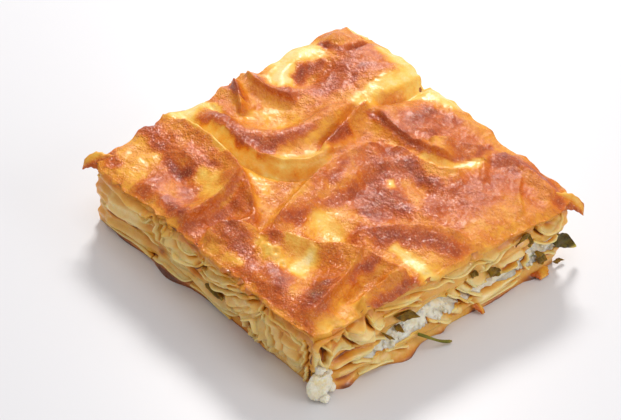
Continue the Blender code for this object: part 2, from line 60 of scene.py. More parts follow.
# Of each side the corners at its ends, the axis along it, its outward direction, and how far from the middle
# it lies
SIDE_ENDS = ((0, 1), (1, 2), (3, 2), (0, 3))
SIDE_AXIS = (0, 1, 0, 1)
OUTWARD = ((0, -1, 0), (1, 0, 0), (0, 1, 0), (-1, 0, 0))
SIDE_DISTANCE = (55, 55, 56, 58)

# How the sides' relief fades inwards and towards their corners, how loosely the corners stand between the
# foot and the rim, as waves over the height, and how far they go on past the rim's level
SIDE_FADE = 0.11
CORNER_FADE = 0.05
LOOSE_FOOT = 4
LOOSE_RIM = 5
SWAYS = ((0.45, 0.55, 2.1), (0.15, 1.7, 1.0))
CORNER_RISE = 1.2

# Layers on the sides, as the size and the rate of a wave over the height and of its sway along the side
LAYER_WAVE = (0.45, 1.5, 2.2, 0.09)

# The top of the bed and the height of the filling, with their waves as size, rate and start
BED_HEIGHT = 7.6
BED_RISE = 0.65
BED_WAVES = ((1, 0.09, 0.5), (1, 0.11, 1.2))
CHEESE_DEPTH = 8.0
CHEESE_WAVES = ((0.6, 0.12, 0.0), (1.4, 0.075, -0.4))
CHEESE_RAMP = (-50.0, -24.0)

# Share of the filling's height that shows under hanging sheets, and the middles and half lengths of the
# patches where all of it shows, on the right, the back and the left side, with where the last two begin
HUNG_OVER = 0.35
CHEESE_PATCHES = (((-12, 14), (45, 9)), ((30, 12), (-14, 16), (-50, 8)), ((44, 9), (10, 14), (-24, 6)))
BACK_EDGE = 50
BACK_CORNER = 52

# The curd at the front corner: the main lump and the crumbs that cling to it, by centre and radii, the room
# that the pastry leaves it, and how much of the unevenness a lump passes through
CURD_CENTRE = (55.6, -50.4, 5.6)
CURD_RADII = (3.3, 4.6, 6.0)
CURD_ROOM = 0.25
CURDS = (
    (CURD_CENTRE, CURD_RADII), ((54.2, -52.4, 3.0), (1.9, 1.7, 2.2)), ((56.0, -46.6, 2.4), (1.8, 1.6, 2.0)),
    ((55.0, -50.2, 11.6), (1.8, 2.1, 1.9)), ((58.2, -50.6, 1.6), (1.5, 1.8, 1.3)),
    ((55.4, -47.4, 8.6), (1.5, 1.6, 1.7)),
)
CURD_SEED = 51
CURD_FINENESS = 6
CURD_SCALE = 6

# How a fold dies away, and the crisp step and the dip beside it where a sheet ends on top of another
FOLD_REACH = 2.6
FOLD_MARGIN = 4
FOLD_END = 0.25
FOLD_FADE = 0.16
STEP_SHARPNESS = 1.8
STEP_WIDTH = 0.5
STEP_REACH = 2.4
STEP_FADE = 0.1
STEP_LIMIT = 12
DIP_DEPTH = 0.35
DIP_PLACE = 0.8
DIP_WIDTH = 0.7

# How the sheets of dough lie on each other on the sides: plump ones as rolls, thin ones as sharp edges
PLUMP = 1.8
STAND_SCALE = 1.5
SHEET_REACH = 2.6
SHEET_STEPS = 20
SHEET_FADE = 0.14
CREASE_DEPTH = 1.1
ROLL_WIDTH = 0.8
ROLL_SQUARENESS = 2.6
CREASE_PLACE = 1.05
CREASE_WIDTH = 0.5
EDGE_WIDTH = 0.45
UNDER_PLACE = 0.65
UNDER_WIDTH = 0.55
UNDER_SHARE = 0.4

# The rounded strips along the thin sheets' edges
EDGE_STEPS = 40
EDGE_SIDES = 14
EDGE_DEPTH = 3.0
EDGE_WAVE = 0.08
EDGE_FADE = 0.16
EDGE_UNDER_CRUST = 3.2
EDGE_SINK = 0.1

# Golden tone that runs down the sides from the crust, and how much of a pocket's tone comes on top of it
RIM_GOLD = 0.62
RIM_GOLD_DEPTH = 4.6
POCKET_SHARE = 0.3

# The crust's ragged rim: its overhang, its rounding, and the drops and overhangs of the loops under it
RAGGED = 0.9
RAGGED_PITCH = 3.0
RAGGED_SEED = 9
LIP_DROP = 0.8
RIM_DROP = 1.3
RIM_ROUND = 2.2
RIM_SPAN = 112
RIM_LOOPS = ((0.5, 0.25), (1.0, 0.3), (1.6, 0.1), (2.1, -0.3), (2.4, -1.1))
RIM_SHARE = 0.9
RIM_FADE = 0.17
CRUST_UNDER = 0.93
CRUST_UNDER_LEVEL = 17.0

# Fine wrinkles of the crust, fullest where it is browned
WRINKLE_RISE = 0.42
WRINKLE_MIDDLE = 0.6
GRAIN_RISE = 0.2
CRACK_DEPTH = 0.25
CALM = 0.35
CRISP_START = 0.25
CRISP_RANGE = 0.3

# How the hidden faces of a wall are drawn in, and the height of the face under the crust
TUCK = 3.0
SLICE_HALF = 58
TOP_TUCK = 0.6
BOTTOM_TUCK = 0.2
SUNK_LEVEL = 16.0

# How far the layers lie in each other, and how far the filling is drawn in and how rough it is
CRUST_OVERLAP = 1.4
CHEESE_OVERLAP = (0.2, 0.3)
CHEESE_INSET = 0.7
CHEESE_ROUGH = 0.5

# Fineness of the pieces and of the lines that shape them, and how far a wall's rows crowd at its edges
CRUST_CELLS = (290, 286)
WALL_COLUMNS = 430
WALL_ROWS = {"upper_layers": 54, "lower_layers": 28, "cheese_filling": 34}
LEVEL_EASE = 0.35
LINE_STEPS = 61
PATH_STEPS = 24
COARSE_STEPS = 12
BOX_POINTS = 17
STEM_STEPS = 40
STEM_SIDES = 16

# Multipliers of the usual hash that gives each cell of the unevenness its value
HASH_STEPS = (127.1, 311.7, 74.7)
HASH_SPREAD = 43758.5453
SEED_STEP = 7.31

# Layers of fine unevenness as size, pitch and seed: on the filling, on the strokes' places and on the baking;
# those on the sides have their stretch in height after the size
CRUMB_GRAINS = ((1.0, 2.2, 11), (0.6, 0.9, 12))
STROKE_GRAINS = ((1.3, 5.0, 23), (0.5, 1.6, 24))
BAKED_GRAINS = ((0.05, 3.0, 21),)
SIDE_GRAINS = ((0.32, 1.2, 5.0, 3), (0.08, 1.5, 1.3, 5))

# How far a stroke of baking reaches and fades, in half widths, and the share of a leaf's width that lies flat
STROKE_REACH = 1.8
STROKE_FADE = 1.65
LEAF_PRESS = 0.7

# Crumbs of cheese: where they lie, their spacing in millimetres, their number on a square metre, their shape
CRUMB_SEED = 4
CRUMB_OPENING = 4.5
CRUMB_SLOPE = 0.7
CRUMB_FROM = 50
CRUMB_SIZES = (0.6, 2.1)
CRUMB_SPACING = 1.25
CRUMB_DENSITY = 360000.0
CRUMB_FINENESS = 2
CRUMB_SCALE = 5
CRUMB_SHAPE = (1.0, 0.8, 0.75)
FULL_TURN = 6.28

# Colours of the finishes, from pale to deep, each at its place on the ramp, and how baked the flakes are
CRUST_COLOURS = ((0.0, "F7DC96"), (0.15, "F3C65C"), (0.30, "ECA634"), (0.45, "E0841A"),
                 (0.58, "CC620E"), (0.72, "B0480A"), (0.86, "8E3408"), (1.0, "622608"))
# Pale flecks on the browned crust: partly floury blisters, partly painted glints
FLECK_AND_GLINT_COLOUR = "E8A66A"
DOUGH_COLOURS = ((0.0, "FADC98"), (0.22, "F1BC58"), (0.42, "E49C30"), (0.62, "D07A1A"),
                 (0.82, "A25518"), (1.0, "683212"))
CHEESE_COLOURS = ((0.0, "FFF8E8"), (0.5, "FBEED4"), (0.8, "F3DFAE"), (1.0, "E6CC84"))
RIM_FLAKE_BAKED = 0.4
FOOT_FLAKE_BAKED = 0.36

# The camera, the floor and the light, with soft boxes by name, place, target, size, power and colour
EYE = Vector((0.25935, -0.23357, 0.29947))
LOOK_AT = Vector((-0.01583, 0.00539, 0.0))
ROLL = math.radians(1.9)
LENS = 75.62
SENSOR_WIDTH = 36.0
FLOOR_HALF = 3.0
DAYLIGHT_COLOUR = (0.98, 0.97, 0.97, 1)
DAYLIGHT_STRENGTH = 0.52
LIGHTS = (
    ("window_back", (-0.52, 0.48, 0.64), (0, 0, 0.02), (0.22, 0.18), 6.0, (1, 0.97, 0.93)),
    ("window_right", (0.75, 0.35, 0.45), (0, 0, 0.02), (0.35, 0.35), 1.7, (1, 0.98, 0.95)),
    ("overhead", (0.1, 0.0, 0.9), (0, 0, 0), (0.5, 0.5), 1.8, (1, 1, 1)),
)


class Fold(NamedTuple):
    """A ridge, or a crease where the rise is negative, along a path, with its widths to left and right."""
    path: tuple
    rise: float
    left: float
    right: float
    step: float = 0.0


class Swell(NamedTuple):
    """A rounded bump or hollow, with its two radii and its turn in radians."""
    u: float
    v: float
    rise: float
    long: float
    short: float
    turn: float = 0.0


class Stroke(NamedTuple):
    """A stroke of baking along a path: how brown it is there, and half its width."""
    path: tuple
    baked: float
    width: float


class Sheet(NamedTuple):
    """The edge of a folded sheet of dough on a side: its line, its thickness and how far it stands out.

    The sheet lies to the left of its line, or to the right where it stands out by a negative amount.
    """
    line: tuple
    thick: float = 0.9
    stand: float = 0.6


CRUST_FOLDS = (
    # Front left sheet: its folded back edge, its right lip, and the small tucked corner beside it
    Fold(((-57, -24), (-38, -20), (-16, -21), (1, -33)), 3.0, 1.5, 8.0, 1.1),
    Fold(((-16, -25), (-11, -35), (-10, -55)), 2.4, 1.3, 6.0, 1.0),
    Fold(((0, -32), (7, -38), (-4, -48)), 2.0, 2.0, 1.5),
    # Back left sheet: the long bowed crest, the plump roll before it, and the crease that closes it
    Fold(((-57, -12), (-26, -20), (-16, 0), (-25, 32)), 4.8, 6.5, 5.5),
    Fold(((-46, -17), (-10, -18), (-5, -4), (-8, 9)), 2.0, 2.8, 2.2, 0.6),
    Fold(((-58, -20), (-30, -17), (-3, -24), (-3, 4)), -2.6, 2.0, 2.2),
    Fold(((-22, 32), (-17, 20), (-12, 4)), -1.6, 1.6, 1.8),
    # Thin pleat between the back left sheet and the big middle one
    Fold(((-20, 35), (-15, 18), (-9, 2)), 2.8, 2.6, 1.2, 0.7),
    # Big middle sheet: its left crest and its far edge
    Fold(((13, -39), (1, -12), (-7, 8), (3, 24)), 3.6, 2.4, 11.0, 0.9),
    Fold(((3, 24), (15, 29), (24, 24), (28, 36)), 2.0, 2.0, 8.0, 0.8),
    # Back right sheet: its front slope and the two small lips on it
    Fold(((-17, 34), (0, 29), (14, 30), (22, 39)), 2.4, 9.0, 2.6, 0.8),
    Fold(((10, 35), (13, 43), (27, 51)), 1.6, 1.4, 5.0, 0.7),
    Fold(((4, 38), (8, 44), (12, 40)), 1.0, 1.2, 1.2),
    # Right-hand sheets: the bowed crest and the long edge that runs to the front corner
    Fold(((29, -19), (33, 0), (54, 14)), 2.8, 1.8, 8.0, 0.8),
    Fold(((10, -38), (27, -28), (38, -16), (57, -14)), 2.4, 1.5, 6.0, 1.0),
    Fold(((38, -18), (46, -32), (50, -52)), 2.4, 2.6, 6.0, 0.8),
    Fold(((54, -14), (50, -25), (55, -37)), 2.6, 4.0, 1.4, 0.8),
    Fold(((11, -37), (-5, -46), (1, -54)), 2.2, 6.0, 1.4, 0.9),
    # Far right corner
    Fold(((26, 52), (44, 57), (57, 50)), 1.6, 2.4, 4.0, 0.5),
    Fold(((26, 48), (32, 42), (36, 36)), 0.9, 1.3, 1.3),
    Fold(((42, 50), (46, 42), (56, 36)), 0.8, 1.2, 2.0, 0.4),
    # Far left corner: the pale round edge, the deep crease, and curls along the left side
    Fold(((-18, 62), (-13, 48), (-20, 36)), -3.6, 2.6, 2.4),
    Fold(((-55, 38), (-60, 18), (-44, 14), (-40, 24)), 1.4, 2.4, 2.6),
    Fold(((-61, 4), (-54, 2), (-45, -4)), 2.4, 3.0, 1.4, 1.3),
    Fold(((-61, 10), (-52, 9), (-38, 17)), 1.8, 3.0, 2.0, 0.9),
    Fold(((-58, -9), (-50, -10), (-43, -7)), -1.6, 1.4, 1.4),
    Fold(((-48, 60), (-47, 54), (-48, 48)), -1.6, 0.9, 0.9),
)

CRUST_SWELLS = (
    # Front left sheet
    Swell(-37, -33, 2.6, 6.5, 5.0), Swell(-31, -40, -2.0, 4.5, 3.5), Swell(-51, -33, 1.2, 7, 5),
    Swell(-20, -40, -1.2, 7, 6), Swell(-31, -51, 1.3, 6, 4), Swell(-16, -53, 1.6, 6, 3),
    Swell(-5, -43, -2.2, 3.5, 8),
    # Bubbles in the butter
    Swell(20.5, -40, 1.1, 1.9, 1.9), Swell(20.5, -40, -1.5, 1.1, 1.1), Swell(25.4, -41, 0.8, 1.5, 1.5),
    Swell(25.4, -41, -1.0, 0.8, 0.8), Swell(16.6, -40.6, 0.6, 1.2, 1.2),
    # Back left bowl and the valleys round the middle sheet
    Swell(-36, 5, -3.0, 12, 10, 0.6), Swell(-40, 2, 1.0, 4, 3), Swell(-9, 13, 1.2, 3.5, 5),
    Swell(-8, 22, -1.6, 4, 7), Swell(-1, -22, -1.2, 5, 10, 0.3),
    # Middle sheet
    Swell(25, 19, -1.5, 7, 2.8), Swell(13, 4, -1.3, 3, 7, 0.5), Swell(30, 2, -1.3, 6, 4, 0.6),
    Swell(14, -20, -0.9, 3, 13), Swell(20, 9, 1.1, 4, 3), Swell(35, 13, 1.3, 4, 5),
    Swell(8, 0, 1.6, 2.6, 7), Swell(23, -20, -1.9, 8, 6, 0.5), Swell(10, 17, 1.2, 6, 5),
    # Back right and front right sheets
    Swell(-3, 42, 3.0, 15, 9, 0.3), Swell(44, 32, 1.2, 15, 13), Swell(29, -34, -2.3, 6, 5),
    Swell(20, -40, 0.8, 2.2, 1.8), Swell(6, -46, 1.3, 4, 5), Swell(31, -47, 1.4, 7, 4),
    Swell(45, -42, 1.0, 5, 6), Swell(49, -30, -1.8, 2.4, 12, 0.12),
    # Far left corner
    Swell(-42, 49, 3.6, 18, 14), Swell(-46, 30, -3.0, 4, 8), Swell(-56, 52, 1.8, 6, 5),
    Swell(-56, 45, -1.4, 4.5, 2.4), Swell(-27, 51, 1.8, 8, 14), Swell(-3, 57, 1.4, 12, 5),
    # Lumps along the left rim
    Swell(-60, -35, 1.8, 5, 4.5), Swell(-60, -24, 2.0, 6, 4.5), Swell(-61, 0, 1.6, 5, 4),
    Swell(-61, 10, 2.4, 6, 4.5), Swell(-61, 22, 0.8, 4, 4), Swell(-61, 34, 1.6, 5, 7),
)

# How far the crust is baked, from 0 for pale dough to 1 for dark brown: strokes laid over each other in turn
BAKED_GROUND = 0.44
# A few strokes are painted highlights and painted shade rather than baking; each is noted beside it
BAKED_STROKES = (
    # Front left sheet
    Stroke(((-56, -30), (-18, -29)), 0.55, 7), Stroke(((-55, -44), (-44, -50)), 0.40, 7),
    Stroke(((-58, -25), (-36, -23.5), (-16, -24.5)), 0.60, 1.8), Stroke(((-36, -45), (-18, -46)), 0.52, 6),
    Stroke(((-60, -34), (-46, -36)), 0.76, 3.2), Stroke(((-42, -33), (-37, -29), (-30, -31)), 0.64, 3),
    Stroke(((-41, -38), (-33, -38), (-26, -30)), 0.84, 2.4), Stroke(((-34, -44), (-32, -53)), 0.72, 3.4),
    # The pale stroke from (-26, -33) to (-15, -37) is a painted highlight
    Stroke(((-27, -40), (-20, -43)), 0.66, 2.8), Stroke(((-26, -33), (-15, -37)), 0.28, 3),
    Stroke(((-24, -50), (-14, -52)), 0.84, 2.3), Stroke(((-57, -51), (-51, -53)), 0.74, 2.2),
    Stroke(((-47, -42), (-41, -50)), 0.34, 3), Stroke(((-60, -41), (-52, -44)), 0.38, 2.5),
    # Its right lip and the tucked corner
    Stroke(((-8, -28), (-6, -38), (-8, -53)), 0.74, 3),
    Stroke(((-13.2, -26), (-11.4, -40), (-10.6, -54)), 0.62, 0.9), Stroke(((-4, -31), (3, -36)), 0.60, 3.5),
    Stroke(((-3, -41), (-2, -52)), 0.66, 4),
    # Triangle of dough between the sheets
    Stroke(((-10, -8), (-4, -22)), 0.34, 6), Stroke(((-8, -13), (-1, -22)), 0.50, 3.4),
    Stroke(((-6, 2), (2, -12), (7, -28)), 0.42, 2.6),
    # Back left sheet: its slopes, the dark crest, the pale roll and the valley before it
    Stroke(((-52, -12), (-36, -8), (-27, 4), (-28, 26)), 0.52, 8),
    Stroke(((-50, -16.5), (-38, -15.5), (-25, -13)), 0.62, 3),
    Stroke(((-46, -14), (-32, -14), (-22, -10), (-19, 8)), 0.76, 3),
    Stroke(((-17.5, -10), (-16.5, 4), (-17, 24)), 0.38, 2.2), Stroke(((-60, -12), (-58, -20)), 0.10, 5),
    Stroke(((-13, -13), (-8, -5), (-9, 4)), 0.24, 3.4),
    # The thin pale line along the roll's crest is a painted highlight
    Stroke(((-50, -18.7), (-30, -17.6), (-12, -15)), 0.16, 1.1),
    # The valley's right part, from -30 to -14, is darker with painted shade
    Stroke(((-60, -21.5), (-30, -20.8)), 0.14, 2), Stroke(((-30, -20.8), (-14, -20)), 0.30, 2.4),
    Stroke(((-63, -9), (-52, -8.5)), 0.12, 1.5),
    # Bowl and curls at the left
    Stroke(((-44, 2), (-34, 8)), 0.34, 6), Stroke(((-62, -5), (-52, -5)), 0.56, 2.4),
    Stroke(((-47, 6), (-46, -2)), 0.52, 1.6), Stroke(((-63, 4), (-52, 2)), 0.58, 2.4),
    Stroke(((-59, 2.4), (-50, 0)), 0.80, 0.8), Stroke(((-64, 17), (-58, 12)), 0.40, 4),
    Stroke(((-56, 13), (-49, 15), (-42, 18)), 0.74, 3), Stroke(((-60, 7), (-50, 8)), 0.46, 2.4),
    # Far left corner
    Stroke(((-58, 56), (-52, 50)), 0.50, 6), Stroke(((-40, 56), (-34, 50)), 0.64, 6),
    Stroke(((-58, 40), (-60, 30)), 0.08, 5), Stroke(((-58, 26), (-52, 20)), 0.04, 4.5),
    Stroke(((-54, 41.5), (-46, 42)), 0.34, 2), Stroke(((-59, 45.5), (-49, 46)), 0.84, 1.5),
    Stroke(((-47, 57), (-46, 48)), 0.80, 2.2), Stroke(((-41, 43), (-38, 30)), 0.74, 6.5),
    Stroke(((-36, 47), (-33, 38)), 0.82, 1.6), Stroke(((-28, 42), (-27, 24)), 0.50, 4.5),
    Stroke(((-49.5, 37), (-51, 31), (-49, 26)), 0.80, 2.2), Stroke(((-50, 23), (-48, 18)), 0.04, 1.2),
    Stroke(((-40, 61), (-24, 61)), 0.14, 4), Stroke(((-23.5, 58), (-22.5, 34)), 0.14, 3.4),
    Stroke(((-19, 60), (-18, 50), (-19.5, 42)), 0.30, 1.6), Stroke(((-60, 61), (-52, 61.5)), 0.12, 1.5),
    # Pleat
    Stroke(((-19, 29), (-15, 18), (-11, 6)), 0.56, 2), Stroke(((-13, 18), (-10.5, 8)), 0.82, 1.9),
    Stroke(((-8, 28), (-7, 8)), 0.48, 2),
    # Middle sheet
    Stroke(((2, 24), (14, 12), (22, 4)), 0.75, 9), Stroke(((-3, 26), (-3, 8), (3, -6)), 0.52, 3.4),
    Stroke(((2, -4), (7, -16), (10, -32)), 0.56, 1.8), Stroke(((12, 2), (12.5, -12), (12, -28)), 0.80, 2.6),
    Stroke(((17, 3), (26, -4)), 0.80, 5), Stroke(((22, 6), (28, 6)), 0.84, 4),
    Stroke(((22, -8), (27, -8)), 0.46, 2), Stroke(((4, 14), (9, 5)), 0.60, 3),
    Stroke(((2, 4), (5, -4)), 0.76, 2), Stroke(((14, 21.5), (28, 22.5)), 0.86, 2.6),
    Stroke(((21, 17), (32, 13)), 0.46, 2.8), Stroke(((30, 20), (38, 12)), 0.68, 3.4),
    # The small pale spot at (17, 12) is a painted highlight on a blister
    Stroke(((16.5, 12.5), (18, 11.5)), 0.2, 1.8), Stroke(((17, -17), (25, -20)), 0.20, 5),
    Stroke(((15, -30), (24, -29)), 0.46, 2.6),
    # Right-hand sheets
    Stroke(((31, -8), (34, 2), (48, 13)), 0.54, 3.6), Stroke(((28, -12), (33, -15)), 0.74, 3.4),
    Stroke(((36, -9), (44, -1), (53, 6)), 0.78, 3.6), Stroke(((50, -2), (58, -4)), 0.36, 3),
    Stroke(((42, -9.5), (50, -8), (59, -8.5)), 0.10, 1.8), Stroke(((36, -16), (55, -15)), 0.50, 3.4),
    Stroke(((27, -26), (40, -22)), 0.54, 5), Stroke(((43, -19), (45.5, -30)), 0.78, 1.7),
    Stroke(((47, -20), (48, -36)), 0.40, 1.8), Stroke(((51, -20), (52, -34)), 0.52, 2.6),
    Stroke(((56, -14), (56.5, -26), (55, -35)), 0.78, 1.4),
    # Front right sheet and the strip at the front rim
    Stroke(((34, -32), (42, -34)), 0.60, 5), Stroke(((26, -46), (46, -47)), 0.62, 5),
    Stroke(((41, -38), (44, -45)), 0.88, 4), Stroke(((26, -43), (32, -48)), 0.80, 3),
    Stroke(((28, -33), (28.5, -38)), 0.04, 3.2), Stroke(((18, -34), (24, -33)), 0.32, 2.2),
    Stroke(((11, -36), (18, -36)), 0.68, 2), Stroke(((14, -40.5), (24, -40)), 0.26, 2.2),
    Stroke(((35, -41), (37, -46)), 0.44, 2), Stroke(((2, -44), (18, -50)), 0.72, 4),
    Stroke(((-1, -52), (3, -52)), 0.46, 1.4), Stroke(((11, -52), (15, -51)), 0.34, 1.5),
    Stroke(((22, -52.5), (52, -51.5)), 0.68, 1.4), Stroke(((54, -34), (55, -50)), 0.32, 3),
    # Far right corner
    Stroke(((38, 24), (38, 44)), 0.71, 8), Stroke(((34, 20), (35, 34)), 0.70, 4),
    Stroke(((53, 18), (54, 42)), 0.46, 5), Stroke(((30, 52), (42, 56), (58, 52)), 0.78, 3.2),
    Stroke(((40, 52), (54, 52)), 0.54, 2), Stroke(((30, 48), (40, 50)), 0.74, 1.6),
    Stroke(((48, 46), (54, 44)), 0.58, 3), Stroke(((60, 57), (62, 60)), 0.50, 3),
    # Back right sheet, its flat middle, the valley under it and the pale dough at the back
    Stroke(((-14, 42), (-6, 36)), 0.54, 6), Stroke(((-2, 50), (0, 38)), 0.82, 5),
    Stroke(((6, 52), (8, 40)), 0.72, 4.5), Stroke(((16, 50), (20, 42)), 0.66, 4.4),
    Stroke(((-15, 31.5), (4, 31), (16, 32), (24, 40), (24, 52)), 0.74, 1.6),
    Stroke(((-14, 28), (0, 27.4), (14, 29)), 0.46, 1.6),
    Stroke(((14, 29.5), (22, 34), (27, 43)), 0.24, 1.8), Stroke(((-14, 59), (-4, 59)), 0.12, 5),
    Stroke(((6, 59), (14, 60)), 0.42, 3), Stroke(((-17, 54), (-14, 52)), 0.14, 2),
)

# Side relief, in distance along the side and height; a rise stands out of the side
FRONT_FOLDS = (
    Fold(((-58, 21), (-50, 20), (-44, 25), (-27, 17)), -1.8, 0.7, 1.6),
    Fold(((-58, 22), (-50, 21), (-44, 26), (-27, 18)), 1.2, 1.6, 0.5),
    Fold(((-28, 22), (-23, 27), (-21, 14)), 1.2, 1.2, 1.2),
    Fold(((-18, 25), (-19, 17), (-14, 14)), -2.4, 2.0, 2.4),
    Fold(((-15.5, 26), (-16, 18), (-12, 12), (1, 18)), 2.0, 2.2, 0.7),
    Fold(((-48, 12), (-40, 9), (-33, 13), (-25, 10)), -0.9, 0.8, 0.8),
    Fold(((1, 12.5), (12, 14), (20, 21), (31, 26)), -1.5, 0.8, 0.8),
    Fold(((0, 14), (12, 17), (20, 23), (29, 28)), 1.2, 0.8, 0.8),
    Fold(((-2, 17), (8, 18), (15, 23), (22, 27)), -1.1, 0.9, 0.9),
    Fold(((10, 8), (16, 11), (25, 16), (31, 23)), 1.0, 2.2, 1.6),
    Fold(((22, 7), (27, 20), (36, 13), (29, 4)), 2.0, 1.0, 1.4),
    Fold(((22, 1), (23, 6), (26, 9)), 1.6, 1.2, 1.6), Fold(((34, 2), (36, 9), (33, 16)), 1.2, 1.4, 2.4),
    Fold(((45, 2), (48, 9), (50, 18)), -1.1, 1.0, 1.4),
)

FRONT_SWELLS = (
    Swell(-2, 0, -2.4, 34, 14), Swell(40, 3, -1.8, 16, 12), Swell(-45, 13, 1.2, 8, 4),
    Swell(-50, 6, 1.0, 6, 4), Swell(19.5, 5, -3.0, 3.4, 3.0, 0.5), Swell(28, 10, -2.2, 2.4, 3.0),
    Swell(6, 10, -0.9, 4.5, 2.6), Swell(29, 2, 1.2, 3.0, 3.0), Swell(42, 11, 1.0, 7, 7),
    Swell(42, 21, -0.9, 2.4, 1.4), Swell(8, 19.5, -1.0, 2.8, 1.6, 0.3),
)

RIGHT_FOLDS = (
    Fold(((-53, 15), (-57, 25), (-49, 29), (-47, 17)), 1.3, 1.1, 1.1),
    Fold(((-51, 14), (-47, 12), (-47, 21), (-51, 22)), 1.2, 0.9, 0.9),
    Fold(((-42, 24), (-38, 14), (-32, 13), (-24, 11)), -1.4, 1.6, 0.7),
    Fold(((-48, 12), (-43, 17), (-37, 13)), -1.1, 0.8, 1.8),
    Fold(((-30, 24), (-23, 23), (-10, 18)), -1.2, 0.8, 0.8),
    Fold(((-29, 22.5), (-22, 21), (-12, 17.5)), 1.0, 0.8, 1.6),
    Fold(((3, 13), (8, 7), (13, 5)), -1.0, 0.8, 0.8), Fold(((6, 14), (11, 9), (15, 8)), -1.0, 0.8, 0.8),
    Fold(((15, 21), (22, 15), (34, 12)), -0.9, 1.0, 1.0),
    Fold(((42, 19), (45, 13), (52, 17)), 1.1, 1.4, 1.0),
)

RIGHT_SWELLS = (
    Swell(-20, 2, 2.6, 26, 10), Swell(20, 3, 1.0, 22, 8), Swell(-33, 19, 1.8, 6.5, 5.5),
    Swell(-49, 18, -1.2, 1.6, 3.6), Swell(-42, 19, -1.4, 3.0, 2.6), Swell(-10, 9, 0.9, 8, 5),
    Swell(26, 16, 1.1, 7, 4), Swell(34, 20, 1.0, 3.4, 3.4), Swell(47, 21.5, -1.4, 2.6, 1.8),
    Swell(45, 12, 0.9, 5, 4),
)

FOOT_FRONT = (Swell(-18, 0, 3.2, 9, 2.4), Swell(-42, 0, 1.0, 9, 1.4))
FOOT_RIGHT = (Swell(-41, 0, 2.4, 4, 1.8), Swell(-18, 0, 3.2, 6, 1.5), Swell(-1, 0, 1.2, 2.4, 1.4),
              Swell(24, 0, 1.2, 9, 1.3), Swell(44, 0, 2.4, 6, 2.0))

RIM_SWELLS = (
    (Swell(-38, 27, 1.0, 6, 2), Swell(-12, 28, 1.2, 6, 2), Swell(6, 29, 1.0, 5, 2),
     Swell(36, 29, 0.8, 9, 2)),
    (Swell(-26, 27, 0.8, 8, 2), Swell(4, 26, 0.6, 9, 2), Swell(40, 27, 0.9, 10, 2.5)),
    (Swell(-34, 33, 3.0, 10, 5), Swell(-2, 31, 2.6, 9, 4), Swell(15, 30, 2.0, 6, 4),
     Swell(35, 29, 2.2, 7, 4), Swell(51, 28, 1.4, 6, 4)),
    (Swell(-35, 28, 1.6, 4, 4), Swell(-24, 29, 2.2, 5, 4), Swell(0, 31, 1.4, 4, 4),
     Swell(10, 32, 2.4, 4, 4), Swell(22, 32, 0.8, 3, 4), Swell(34, 33, 1.6, 6, 4),
     Swell(50, 34, 1.2, 5, 4)),
)

